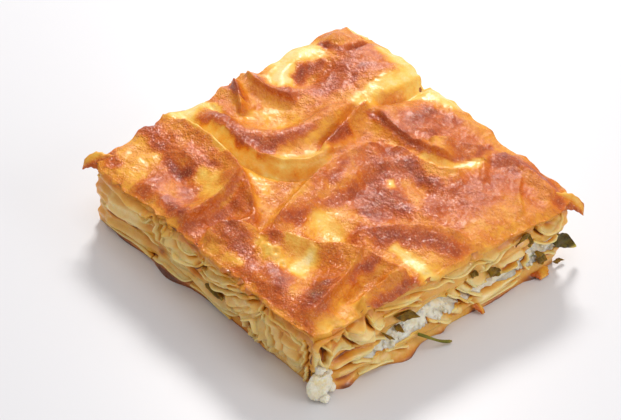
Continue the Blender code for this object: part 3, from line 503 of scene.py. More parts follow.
# Cut edges of the folded sheets on the front side and on the right side, in distance along it and height
FRONT_SHEETS = (
    Sheet(((-57, 20.4), (-52, 21), (-45, 22.8), (-41, 21.2), (-36, 20.3), (-31, 19.8), (-28, 18.6),
           (-26.4, 16.6)), 1.1, 1.1),
    Sheet(((-56, 24.4), (-47, 24.6), (-38, 23.2), (-30, 22.2), (-26, 23.4)), 1.9, 0.8),
    Sheet(((-29, 17), (-26.5, 20), (-24.6, 23.8), (-22.6, 24.2), (-22, 21), (-21.8, 17),
           (-21, 13)), 1.0, 0.8),
    Sheet(((-20.2, 26), (-20.2, 21), (-20, 16.5), (-18.4, 13.2), (-15.5, 11.6)), 1.5, 1.0),
    Sheet(((-15.9, 28), (-15.8, 23), (-15.4, 19.6), (-13.8, 17), (-12, 15.7), (-8, 15.6), (-3, 16.6),
           (1, 18.6), (2.4, 22)), 1.2, 1.3),
    Sheet(((-12.6, 27), (-12.2, 22), (-9.6, 19.4), (-5, 19.4), (-1.5, 21)), 1.0, 0.6),
    Sheet(((-51, 11.7), (-46, 10.8), (-40, 10), (-35, 11), (-30, 11.9), (-26, 11.2), (-24, 9.6)), 0.9, 0.5),
    Sheet(((-51, 15.4), (-44, 14.2), (-36, 15), (-28, 14.6)), 5.5, 0.7),
    Sheet(((-55, 5.4), (-47, 5), (-38, 5.8), (-30, 5), (-25, 6.6)), 2.6, 0.4),
    Sheet(((-53, 2.4), (-44, 2), (-35, 2.6), (-28, 2)), 1.0, 0.5),
    Sheet(((-27, 2.4), (-21, 3.6), (-16, 3.2), (-11, 3), (-8, 4)), 1.0, 0.9),
    Sheet(((-21, 9.6), (-13, 8.8), (-6, 7.4), (2, 5), (12, 3)), 3.6, 0.8),
    Sheet(((-8, 2.4), (2, 2), (12, 0.9)), 1.2, 0.4),
    Sheet(((2, 12.6), (7, 12.6), (13, 15), (20, 19), (27, 23), (30, 26)), 0.8, 1.0),
    Sheet(((0, 14.4), (7, 14.6), (14, 17.4), (20, 20.8), (26, 24.4), (30, 27.4)), 0.8, 0.9),
    Sheet(((-3, 16.8), (5, 16.8), (11, 18.6), (17, 22.2), (22, 25.4), (26, 28.4)), 0.9, 0.9),
    Sheet(((5, 18.4), (9, 21), (14, 22.6), (20, 26.4)), 0.8, 0.7),
    Sheet(((3, 21), (8, 23.4), (14, 25), (20, 28.4)), 1.2, 0.8),
    Sheet(((8, 10.4), (14, 12.2), (20, 15.2), (26, 19), (30.4, 23)), 2.8, 0.8),
    Sheet(((10, 7), (15, 8.4), (20, 11), (26, 15.6), (30, 19.6)), 2.0, 0.7),
    Sheet(((7, 4.4), (14, 4.6), (19, 7.4), (22.6, 9.6)), 1.5, 0.9),
    Sheet(((21, 1), (21.8, 5), (23, 8.4), (23.4, 11.6), (26, 13.6), (28, 14.6), (30.2, 13.4), (31, 11.4),
           (30, 8.8), (29.8, 6.6)), 1.0, 1.5),
    Sheet(((24.4, 1), (24.8, 5), (26, 8.6)), 1.4, 0.8),
    Sheet(((26.4, 1.4), (27, 4), (29.4, 6), (31.6, 4.6), (31, 1.4)), 1.5, 1.2),
    Sheet(((31.6, 21), (31.8, 17.4), (34.4, 14.4), (35.4, 10), (34, 5.4), (32.6, 2)), 1.3, 1.0),
    Sheet(((33.4, 24), (34, 19.4), (37.4, 14.6), (38.4, 9), (37, 2.6)), 1.8, 0.7),
    Sheet(((29, 16.4), (31, 20), (32.4, 25)), 0.9, 0.6),
    Sheet(((34, 25.6), (37, 22.4), (42, 22.8), (46, 20.4), (50, 20)), 0.9, 0.6),
    Sheet(((41.4, 1), (42.4, 8), (42, 16)), 5.0, 0.7),
    Sheet(((45, 2.4), (47, 7), (49.6, 11), (50.4, 17), (51.4, 23)), 1.2, 0.7),
    Sheet(((48, 1), (50.4, 6), (52.2, 12)), 1.2, 0.7),
)

RIGHT_SHEETS = (
    Sheet(((-53, 13.6), (-54.2, 18), (-53.6, 22), (-51.6, 24.2), (-48, 25), (-44, 25.6),
           (-40, 25)), 1.1, 1.2),
    Sheet(((-50.6, 22.6), (-48.4, 20), (-47.4, 16.8), (-48.2, 14), (-50, 14), (-51, 17),
           (-51.4, 20)), 0.8, 1.0),
    Sheet(((-50, 9.6), (-47.4, 13), (-44, 15), (-41, 15), (-37.6, 14)), 1.0, 0.8),
    Sheet(((-47, 24.4), (-45, 21.4), (-42.6, 20.6)), 1.0, 0.6),
    Sheet(((-41.8, 25), (-41.2, 22), (-39.8, 19.4), (-37, 16), (-34, 13.9), (-30, 12.6),
           (-25.4, 11)), 1.0, 1.0),
    Sheet(((-37.4, 24.6), (-37, 20), (-34, 17), (-29.4, 15.6)), 3.4, 1.4),
    Sheet(((-33, 25), (-31.6, 21), (-29.4, 18.8), (-26, 18.4)), 1.4, 0.9),
    Sheet(((-30, 25), (-25, 24), (-20, 22.8), (-15, 21.4), (-10.4, 18.6)), 1.0, 1.1),
    Sheet(((-27, 21.4), (-21, 20.6), (-15, 19), (-10, 16.4)), 1.4, 0.5),
    Sheet(((-24, 25.6), (-14, 24), (-6, 22), (0, 21.6), (4, 18)), 1.4, 0.8),
    Sheet(((-46, 9), (-41, 9.6), (-35, 9.4), (-29, 8)), 2.2, 0.6),
    Sheet(((-45, 4.8), (-39, 4.6), (-33, 5.8), (-27, 4)), 2.0, 0.7),
    Sheet(((-38, 7.8), (-34, 7.2), (-31, 5.8)), 0.8, 0.6),
    Sheet(((-36, 2), (-29, 2.6), (-23, 1.2)), 1.0, 0.6),
    Sheet(((-26, 6.8), (-21, 4.6), (-16, 3)), 1.3, 0.6),
    Sheet(((-8, 9.6), (-5, 7.8), (-1.6, 5), (3, 3)), 1.0, 0.6),
    Sheet(((-4, 13), (0, 10), (5, 6), (9, 3.6)), 1.8, 0.6),
    Sheet(((1.6, 14), (6, 10.6), (9, 8), (13, 4.6)), 1.0, 0.8),
    Sheet(((5.6, 14.4), (10, 10.6), (13, 8.6), (17, 6.6)), 1.0, 0.9),
    Sheet(((9, 16.6), (12, 13), (15, 11), (19, 10.4)), 1.6, 0.7),
    Sheet(((-3, 24), (2, 21.8), (7, 20.6), (12, 22), (17, 20.4), (20.4, 18)), 1.1, 0.8),
    Sheet(((8, 25.4), (14, 23), (19, 20.6), (23, 21)), 1.2, 0.8),
    Sheet(((15, 17), (19.4, 18), (25, 20), (30, 22.6)), 1.6, 0.8),
    Sheet(((22, 14), (27, 14.4), (32, 15.6), (35, 13)), 2.4, 0.7),
    Sheet(((19, 8.6), (25, 8.6), (32, 9.4), (38, 7.4)), 1.8, 0.6),
    Sheet(((12, 5), (20, 5), (29, 6), (38, 4.4)), 1.8, 0.6),
    Sheet(((14, 2.4), (24, 2.2), (34, 3)), 1.1, 0.6),
    Sheet(((39.6, 25), (41.4, 21.6), (44, 19.4), (48, 18.8), (51, 20.4), (52, 23.6)), 1.0, 1.1),
    Sheet(((42, 25.4), (46, 24.4), (50, 24.8)), 1.0, 0.6),
    Sheet(((39, 18), (42, 15.8), (46, 14.6), (50, 15.6)), 1.2, 0.6),
    Sheet(((46, 8.4), (49, 7.6), (52, 6)), 1.4, 0.5), Sheet(((38, 12), (37, 8), (40, 5)), 1.0, 0.4),
)

# Pockets of yellow and brown between the sheets, partly the dough's own baked tone and partly painted shade
FRONT_POCKETS = (
    Swell(-45, 21, 0.7, 5, 1.2), Swell(-51.5, 20.5, 0.8, 0.9, 0.7), Swell(-17, 18, 0.9, 1.6, 3.6, 0.3),
    Swell(-11, 14, 0.5, 3, 1.2), Swell(-23, 7, 0.4, 1.6, 1.2), Swell(-6, 9, 0.4, 2, 1.4),
    Swell(26, 22.5, 0.6, 3, 1.0, 0.6), Swell(19, 5, 1.0, 2.8, 2.2, 0.6), Swell(28, 10, 0.7, 2.2, 2.6),
    Swell(42.5, 21, 0.4, 1.4, 1.0), Swell(48, 28, 0.8, 5, 1.4), Swell(1, 18, 0.6, 1.6, 1.6),
    Swell(8, 19.5, 0.6, 2.4, 0.8, 0.3), Swell(11.5, 7, 0.5, 2, 0.5), Swell(19, 10.5, 0.4, 2, 0.5, 0.5),
    Swell(-19, 0.8, 0.75, 10, 1.2), Swell(-42, 0, 0.8, 10, 0.9), Swell(3, 0, 0.7, 12, 0.9),
    Swell(26, 0, 0.5, 10, 0.8), Swell(40, 22.5, 0.25, 10, 3), Swell(-20, 26, 0.5, 30, 1.6),
    # The broad last swell below is painted shade over the whole front side, and the left that mirrors it
    Swell(20, 27.5, 0.5, 20, 1.6), Swell(-57, 24, 0.25, 3, 6), Swell(0, 12, 0.12, 70, 30),
)

RIGHT_POCKETS = (
    Swell(-42, 12, 0.35, 4, 1.6), Swell(-45, 18, 0.45, 3, 1.6), Swell(-18, 20, 0.55, 7, 0.9, -0.2),
    Swell(-27, 14, 0.35, 3, 1.0), Swell(47, 21.5, 0.7, 2.2, 1.4), Swell(-49, 18, 0.5, 1.2, 2.6),
    Swell(-41, 0.6, 0.7, 4, 1.0), Swell(-16, 0, 0.7, 7, 1.0), Swell(-1, 0, 0.6, 2.4, 1.0),
    Swell(25, 0.2, 0.6, 9, 0.8), Swell(44, 0.5, 0.9, 6.5, 1.4), Swell(14, 0.3, 0.6, 2, 1.0),
    Swell(0, 24, 0.35, 40, 1.6), Swell(40, 26, 0.4, 14, 1.8), Swell(8, 9, 0.35, 3, 1.0, -0.6),
    Swell(-33, 6, 0.3, 5, 1.2),
)


class FlakeSpec(NamedTuple):
    """A loose flake of crust: its mid line, the direction across it, its width and how blunt its end is."""
    path: tuple
    across: tuple
    width: float
    point: float
    ripple: float


# Loose flakes at the rim, with heights measured from the crust's own, and at the foot
RIM_FLAKES = {
    "far_right_flake": FlakeSpec(
        ((52, 49, -3.0), (58, 56, -0.4), (61.5, 60, -4.6)), (-0.58, 0.52, 0.62), 6.0, 0.2, 0.4),
    "front_left_flake": FlakeSpec(
        ((-52, -50, -3.0), (-58, -56, 0.4), (-62.3, -59, -3.6)), (-0.52, 0.58, 0.62), 6.4,
                                  0.26, 0.4),
}
FOOT_FLAKES = {
    "foot_flake": FlakeSpec(
        ((54, 14, 4.0), (59.5, 14.5, 3.0), (61.5, 15.5, 0.75)), (0.0, 1.0, 0.1), 3.0, 0.6, 0.2),
    "foot_flake_back": FlakeSpec(
        ((53, 44, 1.6), (59, 44.5, 1.7), (62.0, 45, 0.8)), (0.0, 1.0, 0.0), 9.0, 0.4, 0.1),
}
FLAKE_HALF = 0.7
FLAKE_CELLS = (40, 20)


class LeafSpec(NamedTuple):
    """A leaf pressed against the cut: its mid line, in distance along the side and height, and its lifts."""
    side: int
    line: tuple
    width: float
    point: float
    lifts: tuple


LEAVES = {
    "leaf_long": LeafSpec(1, ((-22, 18.6), (-17.5, 16.6), (-12, 13.2)), 3.4, 0.9, (0, 0, 0.3)),
    "leaf_small": LeafSpec(1, ((-21, 13.8), (-20, 12.6), (-18.8, 10.8)), 2.0, 0.8, (0, 0, 0)),
    "leaf_thin": LeafSpec(1, ((-25.8, 12.8), (-24, 11), (-22, 9)), 0.9, 0.5, (0, 0, 0)),
    "leaf_dark": LeafSpec(1, ((10.8, 18.6), (12.2, 17.6), (13.4, 16.4)), 2.4, 0.6, (0, 0, 0)),
    "leaf_broad": LeafSpec(1, ((18.8, 16.2), (21.5, 13.2), (24.6, 10.9)), 3.6, 0.8, (0, 0.2, 0)),
    "leaf_curled": LeafSpec(1, ((30.2, 20.4), (31.5, 25.4), (37.5, 24.0), (37.6, 16.2)), 1.5, 0.5,
                            (0, 0.4, 0.4, 0)),
    "leaf_back": LeafSpec(1, ((41.2, 12.2), (44, 9), (46.4, 3.8)), 3.6, 0.8, (0, 0.5, 0)),
    "leaf_corner": LeafSpec(1, ((48.8, 15.4), (52.5, 12.0), (61.0, 5.0)), 5.0, 0.9, (0, 0.3, 1.4)),
    "leaf_foot": LeafSpec(1, ((51.6, 2.0), (53.8, 1.7), (56.4, 1.1)), 1.6, 0.7, (0.4, 0.8, 1.3)),
    "leaf_front": LeafSpec(0, ((1.8, 8.8), (5.8, 9.8), (10.2, 10.4)), 4.6, 0.35, (0.5, 0.7, 0.5)),
}
LEAF_THICKNESS = 0.3
LEAF_CLEARANCE = 0.7
LEAF_RIPPLE = 0.28
LEAF_CELLS = (36, 14)

SPRIG_ROUTE = ((58.9, -12.5, 6.4), (61.8, -9.4, 5.2), (62.8, -6.4, 1.6), (64.2, -2.0, 0.95))
STEM_RADIUS = 0.5


def bezier(points, count):
    """Points along a Bezier curve of any degree."""
    t = np.linspace(0, 1, count)[:, None]
    degree = len(points) - 1
    return sum(math.comb(degree, i) * t**i * (1 - t) ** (degree - i) * np.array(p, float)
               for i, p in enumerate(points))


def trace(points, count):
    """Points along a smooth curve that passes through the given ones."""
    knots = np.array(points, float)
    knots = np.vstack((2 * knots[0] - knots[1], knots, 2 * knots[-1] - knots[-2]))
    t = np.linspace(0, len(points) - 1, count)
    i = np.minimum(t.astype(int), len(points) - 2)
    f = (t - i)[:, None]
    a, b, c, d = knots[i], knots[i + 1], knots[i + 2], knots[i + 3]
    return 0.5 * (2 * b + (c - a) * f + (2 * a - 5 * b + 4 * c - d) * f**2 + (3 * b - a - 3 * c + d) * f**3)


def directions(line):
    """Unit directions along a line of points."""
    run = np.gradient(line, axis=0)
    return run / np.linalg.norm(run, axis=1)[:, None]


def read_along(values, t):
    """Rows given evenly along a line, read at places from 0 to 1."""
    steps = np.linspace(0, 1, len(values))
    return np.column_stack([np.interp(t, steps, column) for column in values.T])


def smooth(t):
    """Eases from 0 at 0 to 1 at 1."""
    t = np.clip(t, 0, 1)
    return t * t * (3 - 2 * t)


def bell(distance, width, power=2):
    """1 in the middle, dying away over a width."""
    return np.exp(-((distance / width) ** power))


def wave(place, size, rate, start):
    """A sine wave along a place."""
    return size * np.sin(rate * place + start)


def blend_corners(values, a, b):
    """Mix four corner values, anticlockwise from the front left, at grid place a, b."""
    fl, fr, br, bl = values
    return fl * (1 - a) * (1 - b) + fr * a * (1 - b) + br * a * b + bl * (1 - a) * b


def from_path(path, u, v, steps=PATH_STEPS, curve=bezier):
    """For each point, its distance to the left of the path, negative to the right, and its place along it."""
    line = curve(path, steps + 1)
    start, run = line[:-1], np.diff(line, axis=0)
    pu, pv = u[:, None] - start[:, 0], v[:, None] - start[:, 1]
    t = np.clip((pu * run[:, 0] + pv * run[:, 1]) / (run**2).sum(1), 0, 1)
    away = np.hypot(pu - t * run[:, 0], pv - t * run[:, 1])
    near = away.argmin(1)
    rows = np.arange(len(u))
    on_left = run[near, 0] * pv[rows, near] > run[near, 1] * pu[rows, near]
    along = (near + t[rows, near]) / steps
    return np.where(on_left, 1, -1) * away[rows, near], along


def near_path(path, u, v, reach, curve=bezier):
    """Which points lie inside the box of a path, widened by a reach."""
    line = curve(path, BOX_POINTS)
    low, high = line.min(0) - reach, line.max(0) + reach
    return (u > low[0]) & (u < high[0]) & (v > low[1]) & (v < high[1])


def add_fold(total, fold, u, v):
    """Add a fold to the heights: a bell across its path, dying away at both ends, with its crisp edge."""
    pick = near_path(fold.path, u, v, FOLD_REACH * max(fold.left, fold.right) + FOLD_MARGIN)
    side, along = from_path(fold.path, u[pick], v[pick])
    to_end = np.minimum(along, 1 - along)
    ends = FOLD_END + (1 - FOLD_END) * smooth(to_end / FOLD_FADE)
    rise = fold.rise * ends * bell(side, np.where(side > 0, fold.left, fold.right))
    if fold.step:
        onto = side if fold.left > fold.right else -side
        lid = smooth(0.5 + onto / STEP_WIDTH) * np.exp(-np.maximum(onto, 0) / STEP_REACH)
        lid -= DIP_DEPTH * bell(onto + DIP_PLACE, DIP_WIDTH)
        close = smooth(to_end / STEP_FADE) * (np.abs(side) < STEP_LIMIT)
        rise += STEP_SHARPNESS * fold.step * lid * close
    total[pick] += rise


def swell_rise(swell, u, v):
    """Height of a swell at each point."""
    c, s = math.cos(swell.turn), math.sin(swell.turn)
    du, dv = u - swell.u, v - swell.v
    along, across = (c * du + s * dv) / swell.long, (c * dv - s * du) / swell.short
    return swell.rise * np.exp(-(along**2) - across**2)


def relief(folds, swells, u, v):
    """Height of folds and swells together at each point."""
    total = np.zeros_like(u)
    for fold in folds:
        add_fold(total, fold, u, v)
    for swell in swells:
        total += swell_rise(swell, u, v)
    return total


def add_sheet(total, sheet, u, v):
    """Lay a sheet over what lies beside its edge: thin ones end in a sharp step, plump ones are rolls."""
    pick = near_path(sheet.line, u, v, SHEET_REACH * 2, trace)
    side, along = from_path(sheet.line, u[pick], v[pick], SHEET_STEPS, trace)
    ends = smooth(np.minimum(along, 1 - along) / SHEET_FADE)
    if sheet.thick >= PLUMP:
        roll = bell(np.abs(side), ROLL_WIDTH * sheet.thick, ROLL_SQUARENESS)
        crease = bell(np.abs(side) - CREASE_PLACE * sheet.thick, CREASE_WIDTH)
        total[pick] += ends * (STAND_SCALE * sheet.stand * roll - CREASE_DEPTH * crease)
        return
    onto = side * math.copysign(1, sheet.stand)
    stand = abs(sheet.stand) * STAND_SCALE
    lid = smooth(0.5 + onto / EDGE_WIDTH) * np.exp(-np.maximum(onto, 0) / SHEET_REACH)
    under = bell(onto + UNDER_PLACE, UNDER_WIDTH)
    total[pick] += ends * (stand * lid - CREASE_DEPTH * (UNDER_SHARE + (1 - UNDER_SHARE) * stand) * under)


def grain(u, v, w, pitch, seed):
    """Smooth, repeatable unevenness between -1 and 1, with features of about the given pitch."""
    place = np.stack((u, v, w)) / pitch + seed * SEED_STEP
    cell = np.floor(place)
    part = place - cell
    part = part * part * (3 - 2 * part)
    total = np.zeros_like(u)
    for corner in product((0, 1), repeat=3):
        at = cell + np.array(corner)[:, None]
        mixed = np.sin(sum(step * row for step, row in zip(HASH_STEPS, at)) + seed) * HASH_SPREAD
        weight = np.prod([p if c else 1 - p for c, p in zip(corner, part)], axis=0)
        total += weight * (2 * (mixed - np.floor(mixed)) - 1)
    return total


def uneven(x, y, z, layers, later=0):
    """Several layers of grain together, with later seeds where they are to differ."""
    return sum(size * grain(x, y, z, pitch, seed + later) for size, pitch, seed in layers)


def crumple(x, y):
    """The crust's unevenness that the solids share."""
    places = zip(x / CRUMPLE_PITCH + CRUMPLE_SEED, y / CRUMPLE_PITCH)
    return CRUMPLE_RISE * np.array([noise.noise(Vector((u, v, 0))) for u, v in places])


def crust_height(x, y):
    """Top of the wrinkled crust."""
    a, b = (x - CRUST_START[0]) / CRUST_SPAN[0], (y - CRUST_START[1]) / CRUST_SPAN[1]
    return blend_corners(CORNER_HEIGHTS, a, b) + relief(CRUST_FOLDS, CRUST_SWELLS, x, y) + crumple(x, y)


def ground(x, y):
    """The surface that the slice rests on."""
    return 0 * x


def bed_height(x, y):
    """Top of the lower pastry layers, which the filling lies on."""
    return BED_HEIGHT + BED_RISE * (wave(x, *BED_WAVES[0]) + wave(y, *BED_WAVES[1]))


def shown_opening(x, y):
    """Height of the filling on the cut sides, where sheets of dough hang over much of it."""
    depth = CHEESE_DEPTH + wave(y, *CHEESE_WAVES[1]) + wave(x, *CHEESE_WAVES[0])
    opening = smooth((y - CHEESE_RAMP[0]) / (CHEESE_RAMP[1] - CHEESE_RAMP[0])) * depth
    shown = np.full_like(x, HUNG_OVER)
    on_sides = (x > 0, (y > BACK_EDGE) & (x < BACK_CORNER), x < -BACK_CORNER)
    for patches, place, here in zip(CHEESE_PATCHES, (y, x, y), on_sides):
        for middle, half in patches:
            shown += (1 - HUNG_OVER) * bell(place - middle, half, 4) * here
    return opening * np.minimum(shown, 1)


def upper_floor(x, y):
    """Underside of the upper layers."""
    return bed_height(x, y) + shown_opening(x, y)


def upper_ceiling(x, y):
    """Where the upper layers end inside the crust."""
    return crust_height(x, y) - CRUST_OVERLAP


def cheese_floor(x, y):
    """Underside of the filling, let into the bed."""
    return bed_height(x, y) - CHEESE_OVERLAP[0]


def cheese_ceiling(x, y):
    """Top of the filling, let into the upper layers."""
    return upper_floor(x, y) + CHEESE_OVERLAP[1]


def side_tables(side):
    """The folds, swells, foot, sheets and pockets of a side; the back and left mirror the others."""
    if side in (0, 3):
        return FRONT_FOLDS, FRONT_SWELLS, FOOT_FRONT, FRONT_SHEETS, FRONT_POCKETS
    return RIGHT_FOLDS, RIGHT_SWELLS, FOOT_RIGHT, RIGHT_SHEETS, RIGHT_POCKETS


def mirrored(side, s):
    """Distances along a side, turned round on the back and the left."""
    return s if side in (0, 1) else -s


def side_relief(side, s, z):
    """How far a side stands out at a distance along it and a height, without its fine detail."""
    folds, swells, foot, _, _ = side_tables(side)
    along = mirrored(side, s)
    size, rate, sway, sway_rate = LAYER_WAVE
    layers = size * np.sin(rate * z + sway * np.sin(sway_rate * along + side)) * smooth(z / LOOSE_FOOT)
    return relief(folds, swells + foot, along, z) + relief((), RIM_SWELLS[side], s, z) + layers


def side_detail(side, s, z):
    """The folded sheets and the fine unevenness of a side, which lies flat under its leaves."""
    along = mirrored(side, s)
    detail = sum(size * grain(s, z * stretch, 0 * s, pitch, seed + side)
                 for size, stretch, pitch, seed in SIDE_GRAINS)
    for sheet in side_tables(side)[3]:
        add_sheet(detail, sheet, along, z)
    return detail * (1 - under_leaves(side, s, z))


def under_leaves(side, s, z):
    """Where a side lies flat under a leaf."""
    cover = np.zeros_like(s)
    for spec in LEAVES.values():
        if spec.side == side:
            pick = near_path(spec.line, s, z, 2 * spec.width)
            away, _ = from_path(spec.line, s[pick], z[pick], COARSE_STEPS)
            cover[pick] = np.maximum(cover[pick], bell(away, LEAF_PRESS * spec.width, 4))
    return cover


def pockets(side, s, z):
    """How golden or brown a side is at a distance along it and a height, partly as painted shade."""
    return relief((), side_tables(side)[4], mirrored(side, s), z)


def rim_gold(x, y, z):
    """The golden tone under the crust."""
    return RIM_GOLD * bell(crust_height(x, y) - z, RIM_GOLD_DEPTH)


def corners_at(z):
    """The four corners of the square at a height, each as an x array and a y array."""
    t = np.clip(z / RIM_LEVEL, 0, CORNER_RISE)
    loose = smooth(z / LOOSE_FOOT) * smooth((RIM_LEVEL - 1 - z) / LOOSE_RIM)
    corners = []
    for number, (base, top) in enumerate(zip(BASE_CORNERS, CRUST_CORNERS)):
        sway = loose * sum(wave(z, size, rate, turn * number) for size, rate, turn in SWAYS)
        corners.append([low + (high - low) * t + math.copysign(1, low) * sway
                        for low, high in zip(base, top)])
    return corners


def spread(a, b, z, lip=0.0, fine=True):
    """Plan position of grid place a, b at a height, with the relief of the sides fading inwards."""
    corners = corners_at(z)
    x, y = (blend_corners([corner[axis] for corner in corners], a, b) for axis in (0, 1))
    lip = np.broadcast_to(lip, z.shape)
    shift_x, shift_y = np.zeros_like(x), np.zeros_like(y)
    for side, away in enumerate((b, 1 - a, 1 - b, a)):
        near = away < SIDE_FADE
        if not near.any():
            continue
        s = (y if SIDE_AXIS[side] else x)[near]
        t = (b if SIDE_AXIS[side] else a)[near]
        stand = side_relief(side, s, z[near])
        if fine:
            stand += side_detail(side, s, z[near])
        stand = (stand + lip[near]) * smooth(np.minimum(t, 1 - t) / CORNER_FADE)
        stand = stand * (1 - away[near] / SIDE_FADE) ** 2
        shift_x[near] += OUTWARD[side][0] * stand
        shift_y[near] += OUTWARD[side][1] * stand
    return x + shift_x, y + shift_y


def make_room(x, y, z):
    """Press the pastry in where the curd sits at the front corner."""
    inward = np.array((-1.0, 1.0)) / math.sqrt(2)
    rx, ry, rz = (r + CURD_ROOM for r in CURD_RADII)
    dx, dy, dz = x - CURD_CENTRE[0], y - CURD_CENTRE[1], z - CURD_CENTRE[2]
    qa = (inward[0] / rx) ** 2 + (inward[1] / ry) ** 2
    qb = dx * inward[0] / rx**2 + dy * inward[1] / ry**2
    qc = (dx / rx) ** 2 + (dy / ry) ** 2 + (dz / rz) ** 2 - 1
    root = qb**2 - qa * qc
    push = np.where(root > 0, (-qb + np.sqrt(np.maximum(root, 0))) / qa, 0)
    push = np.maximum(push, 0)
    return x + inward[0] * push, y + inward[1] * push


def add_object(name, data):
    """An object for a mesh, a light or a camera, put in the scene."""
    obj = bpy.data.objects.new(name, data)
    bpy.context.scene.collection.objects.link(obj)
    return obj


def set_values(mesh, values):
    """Give a mesh named values at its points."""
    for label, amount in values.items():
        layer = mesh.attributes.new(label, "FLOAT", "POINT")
        layer.data.foreach_set("value", np.asarray(amount, np.float32))


def make_mesh(name, places, faces, material, values=None):
    """A smooth mesh object from points in millimetres, with named values at its points."""
    mesh = bpy.data.meshes.new(name)
    mesh.from_pydata((places * MM).tolist(), [], faces)
    mesh.validate()
    mesh.shade_smooth()
    set_values(mesh, values or {})
    mesh.materials.append(material)
    return add_object(name, mesh)


def between_loops(lower, upper):
    """Quads from one closed loop of points up to the next, facing outwards for anticlockwise loops."""
    ahead_low, ahead_up = np.roll(lower, -1), np.roll(upper, -1)
    return np.column_stack((lower, ahead_low, ahead_up, upper)).tolist()


def stacked_loops(count, loops):
    """Quads between closed loops of points one above the other, and the faces at both ends."""
    numbers = np.arange(count * loops).reshape(loops, count)
    faces = [face for low, high in zip(numbers, numbers[1:]) for face in between_loops(low, high)]
    return faces + [numbers[0, ::-1].tolist(), numbers[-1].tolist()]


def grid_places(across, up, first=0.0):
    """Places of a grid, from 0 to 1 one way and from a first value to 1 the other way."""
    rows = np.meshgrid(np.linspace(0, 1, across + 1), np.linspace(first, 1, up + 1))
    return rows[0].ravel(), rows[1].ravel()


def grid_faces(across, up):
    """The quads of a grid, and the closed loop of points round it."""
    grid = np.arange((across + 1) * (up + 1)).reshape(up + 1, across + 1)
    quads = np.column_stack([grid[:-1, :-1].ravel(), grid[:-1, 1:].ravel(),
                             grid[1:, 1:].ravel(), grid[1:, :-1].ravel()])
    return quads, np.concatenate((grid[0, :-1], grid[:-1, -1], grid[-1, :0:-1], grid[:0:-1, 0]))


def outwards(obj):
    """Turn a closed piece's faces outwards."""
    bm = bmesh.new()
    bm.from_mesh(obj.data)
    bmesh.ops.recalc_face_normals(bm, faces=bm.faces)
    bm.to_mesh(obj.data)
    bm.free()
    return obj


def thin_piece(name, cells, outer, inner, material, values):
    """A thin closed piece from the grids of points on its two faces."""
    quads, loop = grid_faces(*cells)
    faces = quads.tolist() + (quads[:, ::-1] + len(outer)).tolist() + between_loops(loop + len(outer), loop)
    both = {label: np.tile(amount, 2) for label, amount in values.items()}
    return outwards(make_mesh(name, np.vstack((outer, inner)), faces, material, both))


def ball(fineness):
    """Points and faces of a ball with a radius of 1."""
    bm = bmesh.new()
    bmesh.ops.create_icosphere(bm, subdivisions=fineness, radius=1.0)
    points = np.array([v.co for v in bm.verts])
    faces = [[v.index for v in f.verts] for f in bm.faces]
    bm.free()
    return points, faces


def side_places(columns):
    """Grid places all round the square, anticlockwise from the front left, with each one's side."""
    t = np.arange(columns) / columns
    zero, one = np.zeros(columns), np.ones(columns)
    a = np.concatenate((t, one, 1 - t, zero))
    b = np.concatenate((zero, t, one, 1 - t))
    return a, b, np.repeat(np.arange(4), columns)


def side_values(x, y, z, sides):
    """Pocket colour, partly painted shade, and fine relief at points on the sides."""
    pocket_tone_and_shade, fold = np.zeros_like(x), np.zeros_like(x)
    for side in range(4):
        pick = sides == side
        s = (y if SIDE_AXIS[side] else x)[pick]
        pocket_tone_and_shade[pick] = pockets(side, s, z[pick])
        fold[pick] = side_detail(side, s, z[pick])
    return pocket_tone_and_shade, fold


def wall(name, floor, ceiling, rows, material, inset=0.0, rough=0.0):
    """A closed layer whose outer faces are the cut sides, between two height functions."""
    a, b, sides = side_places(WALL_COLUMNS)
    x, y = spread(a, b, np.full_like(a, BED_HEIGHT))
    low, high = floor(x, y), ceiling(x, y)
    even = np.linspace(0, 1, rows)
    rings, pocket_tone_and_shade, fold = [], [], []
    for level in LEVEL_EASE * smooth(even) + (1 - LEVEL_EASE) * even:
        z = low + level * (high - low)
        px, py = spread(a, b, z)
        if inset:
            crumb = rough * uneven(px, py, z, CRUMB_GRAINS)
            drawn = 1 - (inset - crumb) / np.hypot(px, py)
            px, py = px * drawn, py * drawn
        px, py = make_room(px, py, z)
        z = floor(px, py) + level * (ceiling(px, py) - floor(px, py))
        rings.append(np.column_stack((px, py, z)))
        gold, stand = side_values(px, py, z, sides)
        # The pockets' tone is partly painted shade
        pocket_tone_and_shade.append(np.maximum(gold, rim_gold(px, py, z) + POCKET_SHARE * gold))
        fold.append(stand)
    top, bottom = rings[-1].copy(), rings[0].copy()
    for ring in (top, bottom):
        ring[:, :2] *= 1 - TUCK / SLICE_HALF
    top[:, 2] -= TOP_TUCK
    # The bottom of the piece that rests on the ground stays level
    if low.any():
        bottom[:, 2] += BOTTOM_TUCK
    sunk = top.copy()
    sunk[:, 2] = np.minimum(sunk[:, 2], SUNK_LEVEL)
    rings = [bottom, *rings, top, sunk]
    values = {label: np.concatenate([rows_of[0], *rows_of, rows_of[-1], rows_of[-1]])
              for label, rows_of in (("pocket_tone_and_shade", pocket_tone_and_shade), ("fold", fold))}
    return make_mesh(name, np.vstack(rings), stacked_loops(len(a), len(rings)), material, values)


def browning(x, y):
    """How far the crust is baked at each point, with a few strokes of painted highlight and painted shade."""
    u = x + uneven(x, y, 0 * x, STROKE_GRAINS)
    v = y + uneven(x, y, 0 * x, STROKE_GRAINS, len(STROKE_GRAINS))
    baked = np.full_like(x, BAKED_GROUND)
    for stroke in BAKED_STROKES:
        pick = near_path(stroke.path, u, v, STROKE_REACH * stroke.width, trace)
        side, _ = from_path(stroke.path, u[pick], v[pick], COARSE_STEPS, trace)
        cover = smooth((STROKE_REACH - np.abs(side) / stroke.width) / STROKE_FADE)
        baked[pick] += (stroke.baked - baked[pick]) * cover
    return baked + uneven(x, y, 0 * x, BAKED_GRAINS)


